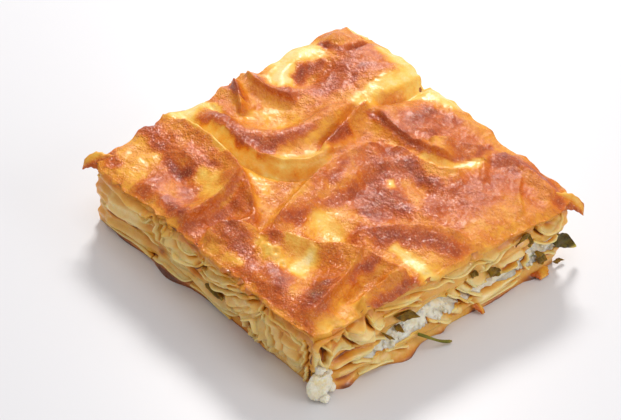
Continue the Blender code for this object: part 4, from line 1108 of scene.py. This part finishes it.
def crust(material):
    """The wrinkled crust with its ragged rim, closed underneath."""
    a, b = grid_places(*CRUST_CELLS)
    quads, loop = grid_faces(*CRUST_CELLS)
    x, y = spread(a, b, np.full_like(a, BED_HEIGHT), fine=False)
    z = crust_height(x, y)
    ragged = RAGGED * (1 + grain(x, y, z, RAGGED_PITCH, RAGGED_SEED))
    x, y = spread(a, b, z - LIP_DROP, ragged, fine=False)
    to_rim = np.minimum.reduce([a, 1 - a, b, 1 - b]) * RIM_SPAN
    z = crust_height(x, y) - RIM_DROP * bell(to_rim, RIM_ROUND)
    brown = browning(x, y)
    crisp = CALM + (1 - CALM) * smooth((brown - CRISP_START) / CRISP_RANGE)
    wrinkle = 1 - np.abs(grain(x + 0.4 * y, y * 0.8, 0 * x, 3.4, 31))
    crack = np.abs(grain(x * 0.7 - y, y * 1.3, 0 * x, 2.2, 33))
    z += crisp * (WRINKLE_RISE * (wrinkle - WRINKLE_MIDDLE) + GRAIN_RISE * grain(x, y, 0 * x, 1.6, 32))
    z -= crisp * CRACK_DEPTH * crack
    rings, baked = [np.column_stack((x, y, z))], [brown]
    for drop, stand in RIM_LOOPS:
        level = z[loop] - drop
        px, py = spread(a[loop], b[loop], level, ragged[loop] * RIM_SHARE + stand, fine=False)
        rings.append(np.column_stack((px, py, level)))
        baked.append(brown[loop] * (1 - RIM_FADE * drop))
    rings.append(np.column_stack((rings[-1][:, :2] * CRUST_UNDER, np.full(len(loop), CRUST_UNDER_LEVEL))))
    baked.append(baked[-1])
    faces, upper = quads.tolist(), loop
    for number in range(len(rings) - 1):
        lower = len(x) + number * len(loop) + np.arange(len(loop))
        faces += between_loops(lower, upper)
        upper = lower
    faces.append(upper[::-1].tolist())
    return make_mesh("browned_crust", np.vstack(rings), faces, material, {"baked": np.concatenate(baked)})


def side_place(side, t):
    """Grid places along a side."""
    return ((t, 0 * t), (0 * t + 1, t), (t, 0 * t + 1), (0 * t, t))[side]


def on_side(side, s, z, out):
    """Points that stand off the front or the right side, at distances along it and heights."""
    start, end = (BASE_CORNERS[corner][SIDE_AXIS[side]] for corner in SIDE_ENDS[side])
    t = np.clip((s - start) / (end - start), 0, 1)
    x, y = spread(*side_place(side, t), z, fine=False)
    return np.column_stack((x + out, s, z) if SIDE_AXIS[side] else (s, y - out, z))


def outline_point(side, s, z):
    """Points on a side, without its fine relief, at distances along it and heights."""
    corners = corners_at(z)
    start, end = (corners[corner][SIDE_AXIS[side]] for corner in SIDE_ENDS[side])
    t = np.clip((s - start) / (end - start), 0, 1)
    return spread(*side_place(side, t), z, fine=False)


def leaf(name, spec, material):
    """A thin wavy leaf that follows the side it is pressed against, with a raised mid rib."""
    t, v = grid_places(*LEAF_CELLS, -1)
    line = bezier(spec.line, LINE_STEPS)
    middle, run = read_along(line, t), read_along(directions(line), t)
    ragged = 1 + 0.16 * np.sin(9 * t + 2 * v) + 0.05 * np.sin(31 * t + np.sign(v))
    half = spec.width / 2 * np.sin(math.pi * (0.05 + 0.90 * t)) ** spec.point * ragged
    s = middle[:, 0] - run[:, 1] * v * half
    z = middle[:, 1] + run[:, 0] * v * half
    lift = read_along(bezier([(rise,) for rise in spec.lifts], LINE_STEPS), t)[:, 0]
    out = LEAF_CLEARANCE + lift + LEAF_RIPPLE * (1 + np.sin(7 * t + 1.3 * v))
    out += 0.12 * bell(v, 0.12) + 0.07 * np.sin(26 * t - 5 * np.abs(v)) * (1 - bell(v, 0.5))
    outer, inner = (on_side(spec.side, s, z, out - deep) for deep in (0, LEAF_THICKNESS))
    return thin_piece(name, LEAF_CELLS, outer, inner, material, {"tip": t, "vein": bell(v, 0.16)})


def flake(name, spec, baked, material):
    """A loose flake along its mid line, thin at its ragged edges and closed all round."""
    t, v = grid_places(*FLAKE_CELLS, -1)
    line = bezier(spec.path, LINE_STEPS)
    here, along = read_along(line, t), read_along(directions(line), t)
    across = np.array(spec.across) / np.linalg.norm(spec.across)
    up = np.cross(along, across)
    body = np.sin(math.pi * (0.5 + 0.46 * t)) ** spec.point
    ragged = 1 + 0.16 * np.sin(9 * t + 2 * v) + 0.06 * np.sin(37 * t + 3 * v)
    lift = spec.ripple * (0.35 * np.sin(7 * t + 1.3 * v) + 0.35 * v * v)
    lift += 0.25 * grain(here[:, 0], here[:, 1] + 3 * v, here[:, 2], 1.6, 61)
    place = here + across * (v * spec.width / 2 * body * ragged)[:, None] + up * lift[:, None]
    thick = FLAKE_HALF * np.sqrt(np.clip(1 - v**8, 0.05, 1)) * np.sqrt(np.clip(1 - t**12, 0.05, 1))
    rise = up * thick[:, None]
    brown = baked + 0.2 * np.sin(5 * t + 2 * v) + 0.15 * t
    return thin_piece(name, FLAKE_CELLS, place + rise, place - rise, material, {"baked": brown})


def lump(name, centre, radii, seed, material):
    """A rough lump of curd, flat where it rests."""
    points, faces = ball(CURD_FINENESS)
    x, y, z = (points * CURD_SCALE).T
    rough = 0.94 + 0.24 * grain(x, y, z, 4.2, seed) - 0.2 * np.abs(grain(x, y, z, 2.2, seed + 1))
    rough += 0.08 * np.abs(grain(x, y, z, 0.9, seed + 2))
    places = np.array(centre) + points * np.array(radii) * rough[:, None]
    places[:, 2] = np.maximum(places[:, 2], 0)
    return make_mesh(name, places, faces, material)


def stem(material):
    """The bent stem that leans out of the filling onto the surface."""
    points = bezier(SPRIG_ROUTE, STEM_STEPS)
    run = directions(points)
    side = np.cross(run, (0, 0, 1.0))
    side /= np.linalg.norm(side, axis=1)[:, None]
    up = np.cross(side, run)
    turns = np.linspace(0, 2 * math.pi, STEM_SIDES + 1)[:-1, None]
    t = np.linspace(0, 1, STEM_STEPS)
    radius = STEM_RADIUS * (1 + 0.12 * np.sin(9 * t)) * (1 - 0.35 * (t > 0.97))
    rings = [points[i] + radius[i] * (np.cos(turns) * side[i] + np.sin(turns) * up[i])
             for i in range(STEM_STEPS)]
    faces = stacked_loops(STEM_SIDES, STEM_STEPS)
    values = {"tip": np.repeat(t, STEM_SIDES), "vein": np.zeros(STEM_SIDES * STEM_STEPS)}
    return outwards(make_mesh("herb_stem_piece", np.vstack(rings), faces, material, values))


def sheet_lines():
    """Lines of all the sheets' cut edges, as an edge mesh with its outward directions and thicknesses."""
    t = np.linspace(0, 1, EDGE_STEPS)
    body = 0.3 + 0.7 * smooth(np.minimum(t, 1 - t) / EDGE_FADE)
    places, outward, thick = [], [], []
    for side in range(4):
        for number, sheet in enumerate(side_tables(side)[3]):
            if sheet.thick >= PLUMP:
                continue
            s, z = trace(sheet.line, EDGE_STEPS).T
            s = mirrored(side, s)
            width = 0.5 * sheet.thick * body * (1 + 0.2 * np.sin(7 * t + 2.1 * number))
            x, y = outline_point(side, s, z)
            z = np.minimum(z, crust_height(x, y) - EDGE_UNDER_CRUST) + wave(t, EDGE_WAVE, 9, number)
            sunk = abs(sheet.stand) * STAND_SCALE * (1.6 * body - 0.6) - EDGE_SINK - EDGE_DEPTH / 2 * width
            places.append(np.column_stack((x + OUTWARD[side][0] * sunk, y + OUTWARD[side][1] * sunk, z)))
            outward += [OUTWARD[side]] * EDGE_STEPS
            thick.append(width)
    edges = [(i, i + 1) for i in range(len(outward)) if (i + 1) % EDGE_STEPS]
    mesh = bpy.data.meshes.new("sheet_lines")
    mesh.from_pydata((np.vstack(places) * MM).tolist(), edges, [])
    layer = mesh.attributes.new("outward", "FLOAT_VECTOR", "POINT")
    layer.data.foreach_set("vector", np.array(outward, np.float32).ravel())
    set_values(mesh, {"thick": np.concatenate(thick)})
    return add_object("sheet_lines", mesh)


class Value:
    """A shader socket that takes part in plain arithmetic."""

    def __init__(self, shader, socket):
        self.shader, self.socket = shader, socket

    def work(self, operation, *others, swap=False, clamp=False):
        """One step of arithmetic with other values."""
        sources = (*others, self) if swap else (self, *others)
        settings = {"operation": operation, "use_clamp": clamp}
        return self.shader.node("Math", settings, dict(enumerate(sources)))

    def __add__(self, other):
        return self.work("ADD", other)

    __radd__ = __add__

    def __sub__(self, other):
        return self.work("SUBTRACT", other)

    def __rsub__(self, other):
        return self.work("SUBTRACT", other, swap=True)

    def __mul__(self, other):
        return self.work("MULTIPLY", other)

    __rmul__ = __mul__

    def __truediv__(self, other):
        return self.work("DIVIDE", other)

    def __pow__(self, other):
        return self.work("POWER", other)

    def clamped(self):
        """The value kept between 0 and 1."""
        return self.work("ADD", 0.0, clamp=True)

    def above(self, start, end):
        """Rises smoothly from 0 at start to 1 at end."""
        return self.shader.node("MapRange", {"interpolation_type": "SMOOTHSTEP"},
                                {"Value": self, "From Min": start, "From Max": end})


class Shader:
    """A Principled material that is built from expressions."""

    def __init__(self, name, **plain):
        self.material = bpy.data.materials.new(name)
        self.material.use_nodes = True
        self.tree = self.material.node_tree
        self.surface = self.tree.nodes["Principled BSDF"]
        for label, amount in plain.items():
            self.surface.inputs[label.replace("_", " ")].default_value = amount
        self.place = self.node("TexCoord", {}, {}, "Object")

    def node(self, kind, settings, inputs, output=0):
        """Add a node with its settings and inputs, and give back one of its outputs."""
        made = self.tree.nodes.new("ShaderNode" + kind)
        for label, amount in settings.items():
            setattr(made, label, amount)
        for label, source in inputs.items():
            if isinstance(source, Value):
                self.tree.links.new(source.socket, made.inputs[label])
            else:
                made.inputs[label].default_value = source
        return Value(self, made.outputs[output])

    def attribute(self, name):
        """A value that the mesh carries at its points."""
        return self.node("Attribute", {"attribute_name": name}, {}, "Fac")

    def noises(self, cloud, spots, fine):
        """Soft clouds, spots and fine grit, by their sizes in millimetres."""
        return self.noise(cloud, 3), self.noise(spots, 3, 0.6), self.noise(fine, 2, 0.6)

    def noise(self, size, detail=2.0, roughness=0.5, offset=0.0):
        """Noise with features of about the given size in millimetres."""
        moved = self.node("Mapping", {}, {"Vector": self.place, "Location": (offset, offset, offset)})
        return self.node("TexNoise", {}, {"Vector": moved, "Scale": 1000.0 / size, "Detail": detail,
                                          "Roughness": roughness})

    def cells(self, size, feature="F1"):
        """Distance to the middle of the nearest cell."""
        return self.node("TexVoronoi", {"feature": feature}, {"Vector": self.place, "Scale": 1000.0 / size},
                         "Distance")

    def ramp(self, value, stops):
        """A colour between stops, each with its position and its hexadecimal code."""
        made = self.tree.nodes.new("ShaderNodeValToRGB")
        self.tree.links.new(value.socket, made.inputs[0])
        elements = made.color_ramp.elements
        while len(elements) < len(stops):
            elements.new(0.5)
        for element, (place, code) in zip(elements, stops):
            element.position = place
            element.color = (*rgb(code), 1)
        return Value(self, made.outputs[0])

    def mix(self, factor, first, second):
        """From the first colour to the second one by a factor."""
        made = self.tree.nodes.new("ShaderNodeMix")
        made.data_type = "RGBA"
        for index, source in ((0, factor), (6, first), (7, second)):
            if isinstance(source, Value):
                self.tree.links.new(source.socket, made.inputs[index])
            else:
                made.inputs[index].default_value = source if index == 0 else (*source, 1)
        return Value(self, made.outputs[2])

    def bump(self, height, strength, distance, under=None):
        """Fine relief from a height, on top of another one."""
        inputs = {"Height": height, "Strength": strength, "Distance": distance * MM}
        if under:
            inputs["Normal"] = under
        return self.node("Bump", {}, inputs)

    def finish(self, **links):
        """Join sockets of the surface by name, and give back the material."""
        for label, source in links.items():
            self.tree.links.new(source.socket, self.surface.inputs[label.replace("_", " ")])
        return self.material


def rgb(code):
    """Linear colour from a hexadecimal one."""
    parts = [int(code[i:i + 2], 16) / 255 for i in (0, 2, 4)]
    return tuple(p / 12.92 if p <= 0.04045 else ((p + 0.055) / 1.055) ** 2.4 for p in parts)


def crust_material():
    """Baked pastry, from pale to dark by how brown each point is, with a film of butter."""
    s = Shader("browned_crust_finish", Specular_IOR_Level=0.42, Subsurface_Weight=0.1,
               Subsurface_Scale=0.002, Subsurface_Radius=(1.0, 0.5, 0.2), Coat_Roughness=0.16, Coat_IOR=1.45)
    cloud, spots, fine = s.noises(5.0, 1.3, 0.5)
    blisters = 1.0 - s.cells(0.9)
    level = s.attribute("baked") - 0.03 + (cloud - 0.5) * 0.34 + (spots - 0.5) * 0.3 + (fine - 0.5) * 0.16
    # Pale flecks on the browned parts, partly floury blisters and partly painted glints
    fleck_and_painted_glint = (fine + (blisters - 0.6) * 0.3).above(0.52, 0.66) * level.above(0.38, 0.6) * 0.42
    colour = s.mix(fleck_and_painted_glint, s.ramp(level, CRUST_COLOURS), rgb(FLECK_AND_GLINT_COLOUR))
    butter = s.noise(7.0, offset=3.0).above(0.42, 0.66)
    crisp = 0.4 + 0.6 * level.above(0.3, 0.55)
    rough = 0.44 - crisp * 0.26 - butter * 0.08 + (spots - 0.5) * 0.3 + (fine - 0.5) * 0.3
    first = s.bump(s.cells(2.6, "SMOOTH_F1"), 0.3, 0.3)
    second = s.bump(spots * crisp, 0.8, 0.26, first)
    third = s.bump((blisters + fine) * crisp, 1.0, 0.18, second)
    return s.finish(Base_Color=colour, Roughness=rough.clamped(), Coat_Weight=0.12 * butter, Normal=third)


def dough_material(name, wet):
    """Soft cooked dough: golden tone and painted shade in its hollows, painted light on its ridges."""
    s = Shader(name, Subsurface_Weight=0.5, Subsurface_Scale=0.0025, Subsurface_Radius=(1.0, 0.6, 0.25),
               Coat_Roughness=0.12, Coat_IOR=1.4)
    fold = s.attribute("fold")
    cloud, spots, fine = s.noises(6.0, 1.5, 0.5)
    # Painted shade where the side is sunk, and painted light where it stands out
    painted_relief_light_and_shade = (0.0 - fold).above(0.05, 1.2) * 0.5 - fold.above(0.1, 1.2) * 0.26
    # The pocket tone is partly the dough's own and partly painted shade
    level = s.attribute("pocket_tone_and_shade") + painted_relief_light_and_shade + (cloud - 0.5) * 0.3 + (spots - 0.5) * 0.16 + 0.27
    rough = 0.34 + (spots - 0.5) * 0.5 + (fine - 0.5) * 0.3
    relief_bump = s.bump(fine, 0.6, 0.12, s.bump(s.noise(2.4), 0.5, 0.3))
    gloss = wet * s.noise(3.0, offset=5.0).above(0.4, 0.7)
    return s.finish(Base_Color=s.ramp(level, DOUGH_COLOURS), Roughness=rough.clamped(), Coat_Weight=gloss,
                    Normal=relief_bump)


def cheese_material():
    """Moist white cheese."""
    s = Shader("white_cheese_finish", Subsurface_Weight=0.7, Subsurface_Scale=0.003,
               Subsurface_Radius=(1.0, 0.85, 0.6), Coat_Roughness=0.1, Coat_IOR=1.4)
    cloud, spots, fine = s.noises(4.0, 1.2, 0.4)
    level = (cloud - 0.5) * 1.2 + (spots - 0.5) * 0.8 + 0.45
    rough = 0.45 + (spots - 0.5) * 0.6
    crumbly = s.bump(fine, 0.6, 0.15, s.bump(spots, 0.8, 0.4))
    gloss = 0.5 * s.noise(2.0, offset=7.0).above(0.5, 0.7)
    return s.finish(Base_Color=s.ramp(level, CHEESE_COLOURS), Roughness=rough.clamped(), Coat_Weight=gloss,
                    Normal=crumbly)


def leaf_material(name, *codes):
    """A cooked leaf in a dark and an olive tone, with a tip of its own colour."""
    s = Shader(name, Subsurface_Weight=0.25, Subsurface_Scale=0.001, Specular_IOR_Level=0.16)
    dark, olive, end = (rgb(code) for code in codes)
    cloud, fine = s.noise(2.5, 3), s.noise(0.4, 2, 0.6)
    colour = s.mix((cloud + (fine - 0.5) * 0.6).above(0.35, 0.7), dark, olive)
    colour = s.mix(s.attribute("tip").above(0.82, 1.0) * 0.9, colour, end)
    colour = s.mix(s.attribute("vein") * 0.4, colour, olive)
    rough = 0.40 + (fine - 0.5) * 0.5
    return s.finish(Base_Color=colour, Roughness=rough.clamped(), Normal=s.bump(fine, 0.6, 0.12))


class Tree:
    """A geometry node tree with named inputs."""

    def __init__(self, name, *inputs):
        self.tree = bpy.data.node_groups.new(name, "GeometryNodeTree")
        self.tree.interface.new_socket("Geometry", in_out="INPUT", socket_type="NodeSocketGeometry")
        for label in inputs:
            self.tree.interface.new_socket(label, in_out="INPUT", socket_type="NodeSocketFloat")
        self.tree.interface.new_socket("Geometry", in_out="OUTPUT", socket_type="NodeSocketGeometry")
        self.given = self.add("NodeGroupInput").outputs

    def add(self, kind, settings=None, **inputs):
        """Add a node with its settings and its inputs by name."""
        made = self.tree.nodes.new(kind)
        for label, amount in (settings or {}).items():
            setattr(made, label, amount)
        for label, source in inputs.items():
            self.join(source, made.inputs[label.replace("_", " ")])
        return made

    def join(self, source, socket):
        """Link a socket to an input, or set the input's value."""
        if isinstance(source, bpy.types.NodeSocket):
            self.tree.links.new(source, socket)
        else:
            socket.default_value = source

    def end(self, shape, material):
        """Make the shape real, give it its material, and close the tree."""
        real = self.add("GeometryNodeRealizeInstances", Geometry=shape)
        painted = self.add("GeometryNodeSetMaterial", Geometry=real.outputs[0], Material=material)
        self.join(painted.outputs[0], self.add("NodeGroupOutput").inputs[0])
        return self.tree


def crumb_tree(crumb, material):
    """Nodes that scatter crumbs of cheese over a surface."""
    t = Tree("cheese_crumbs", "Spacing", "Density", "Smallest", "Largest")
    points = t.add("GeometryNodeDistributePointsOnFaces", {"distribute_method": "POISSON"},
                   Mesh=t.given["Geometry"], Distance_Min=t.given["Spacing"], Density_Max=t.given["Density"],
                   Seed=CRUMB_SEED)
    shape = t.add("GeometryNodeObjectInfo", Object=crumb)
    size = t.add("FunctionNodeRandomValue", {"data_type": "FLOAT"}, Seed=CRUMB_SEED)
    t.join(t.given["Smallest"], size.inputs[2])
    t.join(t.given["Largest"], size.inputs[3])
    turn = t.add("FunctionNodeRandomValue", {"data_type": "FLOAT_VECTOR"}, Seed=CRUMB_SEED + 1)
    turn.inputs[1].default_value = (FULL_TURN,) * 3
    laid = t.add("GeometryNodeInstanceOnPoints", Points=points.outputs["Points"],
                 Instance=shape.outputs["Geometry"], Rotation=turn.outputs[0], Scale=size.outputs[1])
    return t.end(laid.outputs[0], material)


def edge_tree(material):
    """Nodes that sweep a rounded strip along each line, turned outwards."""
    t = Tree("sheet_edges", "Thickness", "Depth")
    curve = t.add("GeometryNodeMeshToCurve", Mesh=t.given["Geometry"])
    outward = t.add("GeometryNodeInputNamedAttribute", {"data_type": "FLOAT_VECTOR"}, Name="outward")
    turned = t.add("GeometryNodeSetCurveNormal", {"mode": "FREE"}, Curve=curve.outputs[0],
                   Normal=outward.outputs[0])
    thick = t.add("GeometryNodeInputNamedAttribute", {"data_type": "FLOAT"}, Name="thick")
    sized = t.add("GeometryNodeSetCurveRadius", Curve=turned.outputs[0], Radius=thick.outputs[0])
    ring = t.add("GeometryNodeCurvePrimitiveCircle", Resolution=EDGE_SIDES, Radius=0.5)
    size = t.add("ShaderNodeCombineXYZ", X=t.given["Depth"], Y=t.given["Thickness"], Z=1.0)
    strip = t.add("GeometryNodeTransform", Geometry=ring.outputs[0], Scale=size.outputs[0])
    swept = t.add("GeometryNodeCurveToMesh", Curve=sized.outputs[0], Profile_Curve=strip.outputs[0],
                  Fill_Caps=True)
    return t.end(swept.outputs[0], material)


def take_result(name, host, tree, amounts):
    """The mesh that a node tree makes from a host, as a plain object; the host keeps its own shape."""
    modifier = host.modifiers.new(tree.name, "NODES")
    modifier.node_group = tree
    for item in tree.interface.items_tree:
        if item.in_out == "INPUT" and item.name in amounts:
            modifier[item.identifier] = amounts[item.name]
    bpy.context.view_layer.update()
    shown = host.evaluated_get(bpy.context.evaluated_depsgraph_get())
    mesh = bpy.data.meshes.new_from_object(shown)
    mesh.name = name
    host.modifiers.remove(modifier)
    return add_object(name, mesh)


def sheet_edges(material):
    """The thin rounded edges of the folded sheets."""
    lines = sheet_lines()
    made = take_result("sheet_edges", lines, edge_tree(material), {"Thickness": MM, "Depth": EDGE_DEPTH * MM})
    bpy.data.objects.remove(lines)
    mesh = made.data
    mesh.shade_smooth()
    flat = np.empty(len(mesh.vertices) * 3, np.float32)
    mesh.vertices.foreach_get("co", flat)
    x, y, z = flat.reshape(-1, 3).T.astype(float) / MM
    side_of = np.argmax([x * out[0] + y * out[1] - far for out, far in zip(OUTWARD, SIDE_DISTANCE)], 0)
    pocket_tone_and_shade, fold = np.zeros_like(x), np.zeros_like(x)
    for side in range(4):
        pick = side_of == side
        s = (y if SIDE_AXIS[side] else x)[pick]
        px, py = outline_point(side, s, z[pick])
        out = (x[pick] - px) * OUTWARD[side][0] + (y[pick] - py) * OUTWARD[side][1]
        # Half the tone comes from the side's pockets, half is painted shade that deepens as the strip lies
        # further in
        pocket_tone_and_shade[pick] = 0.5 * pockets(side, s, z[pick]) + 0.5 * smooth((0.2 - out) / 1.6)
        fold[pick] = out
    set_values(mesh, {"pocket_tone_and_shade": np.maximum(pocket_tone_and_shade, rim_gold(x, y, z)), "fold": fold})
    return made


def crumbs(cheese, material):
    """Crumbs of cheese on the cut sides of the filling."""
    points, faces = ball(CRUMB_FINENESS)
    x, y, z = (points * CRUMB_SCALE).T
    rough = 1 + 0.22 * grain(x, y, z, 3.0, 41)
    crumb = make_mesh("crumb_shape", points * rough[:, None] * CRUMB_SHAPE, faces, material)
    mesh = cheese.data
    corners = []
    for face in mesh.polygons:
        c = face.center / MM
        inside = max(abs(c.x), abs(c.y)) < CRUMB_FROM
        if len(face.vertices) != 4 or abs(face.normal.z) > CRUMB_SLOPE or inside:
            continue
        if shown_opening(np.array([c.x]), np.array([c.y]))[0] >= CRUMB_OPENING:
            corners += [tuple(mesh.vertices[i].co / MM) for i in face.vertices]
    patch_faces = np.arange(len(corners)).reshape(-1, 4).tolist()
    patch = make_mesh("crumb_patch", np.array(corners), patch_faces, material)
    made = take_result("cheese_crumbs", patch, crumb_tree(crumb, material), {
        "Spacing": CRUMB_SPACING * MM, "Density": CRUMB_DENSITY,
        "Smallest": CRUMB_SIZES[0] / 2, "Largest": CRUMB_SIZES[1] / 2})
    for helper in (patch, crumb):
        bpy.data.objects.remove(helper)
    made.data.shade_smooth()
    return made


def softbox(name, place, target, size, power, colour):
    """A soft rectangular light that faces a point."""
    light = bpy.data.lights.new(name, "AREA")
    light.shape = "RECTANGLE"
    light.size, light.size_y = size
    light.energy = power
    light.color = colour
    obj = add_object(name, light)
    obj.location = place
    obj.rotation_euler = (Vector(target) - Vector(place)).to_track_quat("-Z", "Y").to_euler()


def camera():
    """The camera that sees the slice as the photo does."""
    back = (EYE - LOOK_AT).normalized()
    right = Vector((0, 0, 1)).cross(back).normalized()
    up = back.cross(right)
    turned_right = right * math.cos(ROLL) + up * math.sin(ROLL)
    turned_up = up * math.cos(ROLL) - right * math.sin(ROLL)
    data = bpy.data.cameras.new("view_camera")
    data.lens = LENS
    data.sensor_width = SENSOR_WIDTH
    obj = add_object("view_camera", data)
    matrix = obj.matrix_world.copy()
    for row in range(3):
        matrix[row][0], matrix[row][1], matrix[row][2] = turned_right[row], turned_up[row], back[row]
        matrix[row][3] = EYE[row]
    obj.matrix_world = matrix
    bpy.context.scene.camera = obj


def surroundings():
    """The pale floor under the slice, the daylight and the soft lights."""
    mesh = bpy.data.meshes.new("floor")
    r = FLOOR_HALF
    mesh.from_pydata([(-r, -r, 0), (r, -r, 0), (r, r, 0), (-r, r, 0)], [], [(0, 1, 2, 3)])
    pale = Shader("pale_floor", Base_Color=(0.75, 0.75, 0.78, 1), Roughness=0.35)
    mesh.materials.append(pale.material)
    floor = add_object("floor", mesh)
    world = bpy.data.worlds.new("soft_daylight")
    world.use_nodes = True
    daylight = world.node_tree.nodes["Background"].inputs
    daylight["Color"].default_value = DAYLIGHT_COLOUR
    daylight["Strength"].default_value = DAYLIGHT_STRENGTH
    bpy.context.scene.world = world
    for light in LIGHTS:
        softbox(*light)
    bpy.context.scene.view_settings.view_transform = "Standard"


def main():
    """Build the pieces, each put in the frame as it is made, and then the view of them."""
    crust_finish = crust_material()
    dough_finish = dough_material("soft_pastry_finish", 0.8)
    cheese_finish = cheese_material()
    leaf_finish = leaf_material("cooked_leaf_finish", "5C4206", "8E6C0E", "947A20")
    tip_finish = leaf_material("yellow_tipped_leaf_finish", "3C3006", "66560C", "E2CC2E")
    stem_finish = leaf_material("stem_finish", "6B6A22", "8A8430", "9A8A3A")
    top = crust(crust_finish)
    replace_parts(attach(top, "root"), "pastry_top")
    upper = wall("upper_layers", upper_floor, upper_ceiling, WALL_ROWS["upper_layers"], dough_finish)
    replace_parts(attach(upper, "root"), "pastry_top")
    lower = wall("lower_layers", ground, bed_height, WALL_ROWS["lower_layers"], dough_finish)
    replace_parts(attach(lower, "root"), "pastry_base")
    edges = sheet_edges(dough_finish)
    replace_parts(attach(edges, "root"), "pastry_top", "pastry_base")
    for name, spec in RIM_FLAKES.items():
        x, y, rise = np.array(spec.path, float).T
        path = tuple(zip(x, y, crust_height(x, y) + rise))
        piece = flake(name, spec._replace(path=path), RIM_FLAKE_BAKED, crust_finish)
        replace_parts(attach(piece, "root"), "pastry_top")
    for name, spec in FOOT_FLAKES.items():
        piece = flake(name, spec, FOOT_FLAKE_BAKED, crust_finish)
        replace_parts(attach(piece, "root"), "pastry_base")
    cheese = wall("cheese_filling_piece", cheese_floor, cheese_ceiling, WALL_ROWS["cheese_filling"],
                  cheese_finish, CHEESE_INSET, CHEESE_ROUGH)
    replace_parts(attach(cheese, "root"), "cheese_filling")
    bits = crumbs(cheese, cheese_finish)
    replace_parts(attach(bits, "root"), "cheese_filling")
    for number, (centre, radii) in enumerate(CURDS):
        curd = lump(f"corner_curd_piece_{number}", centre, radii, CURD_SEED + 3 * number, cheese_finish)
        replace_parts(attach(curd, "root"), "corner_curd")
    sprig = stem(stem_finish)
    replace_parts(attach(sprig, "root"), "herb_stem")
    for name, spec in LEAVES.items():
        piece = leaf(name + "_piece", spec, tip_finish if name == "leaf_corner" else leaf_finish)
        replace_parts(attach(piece, "root"), name)
    surroundings()
    camera()


main()
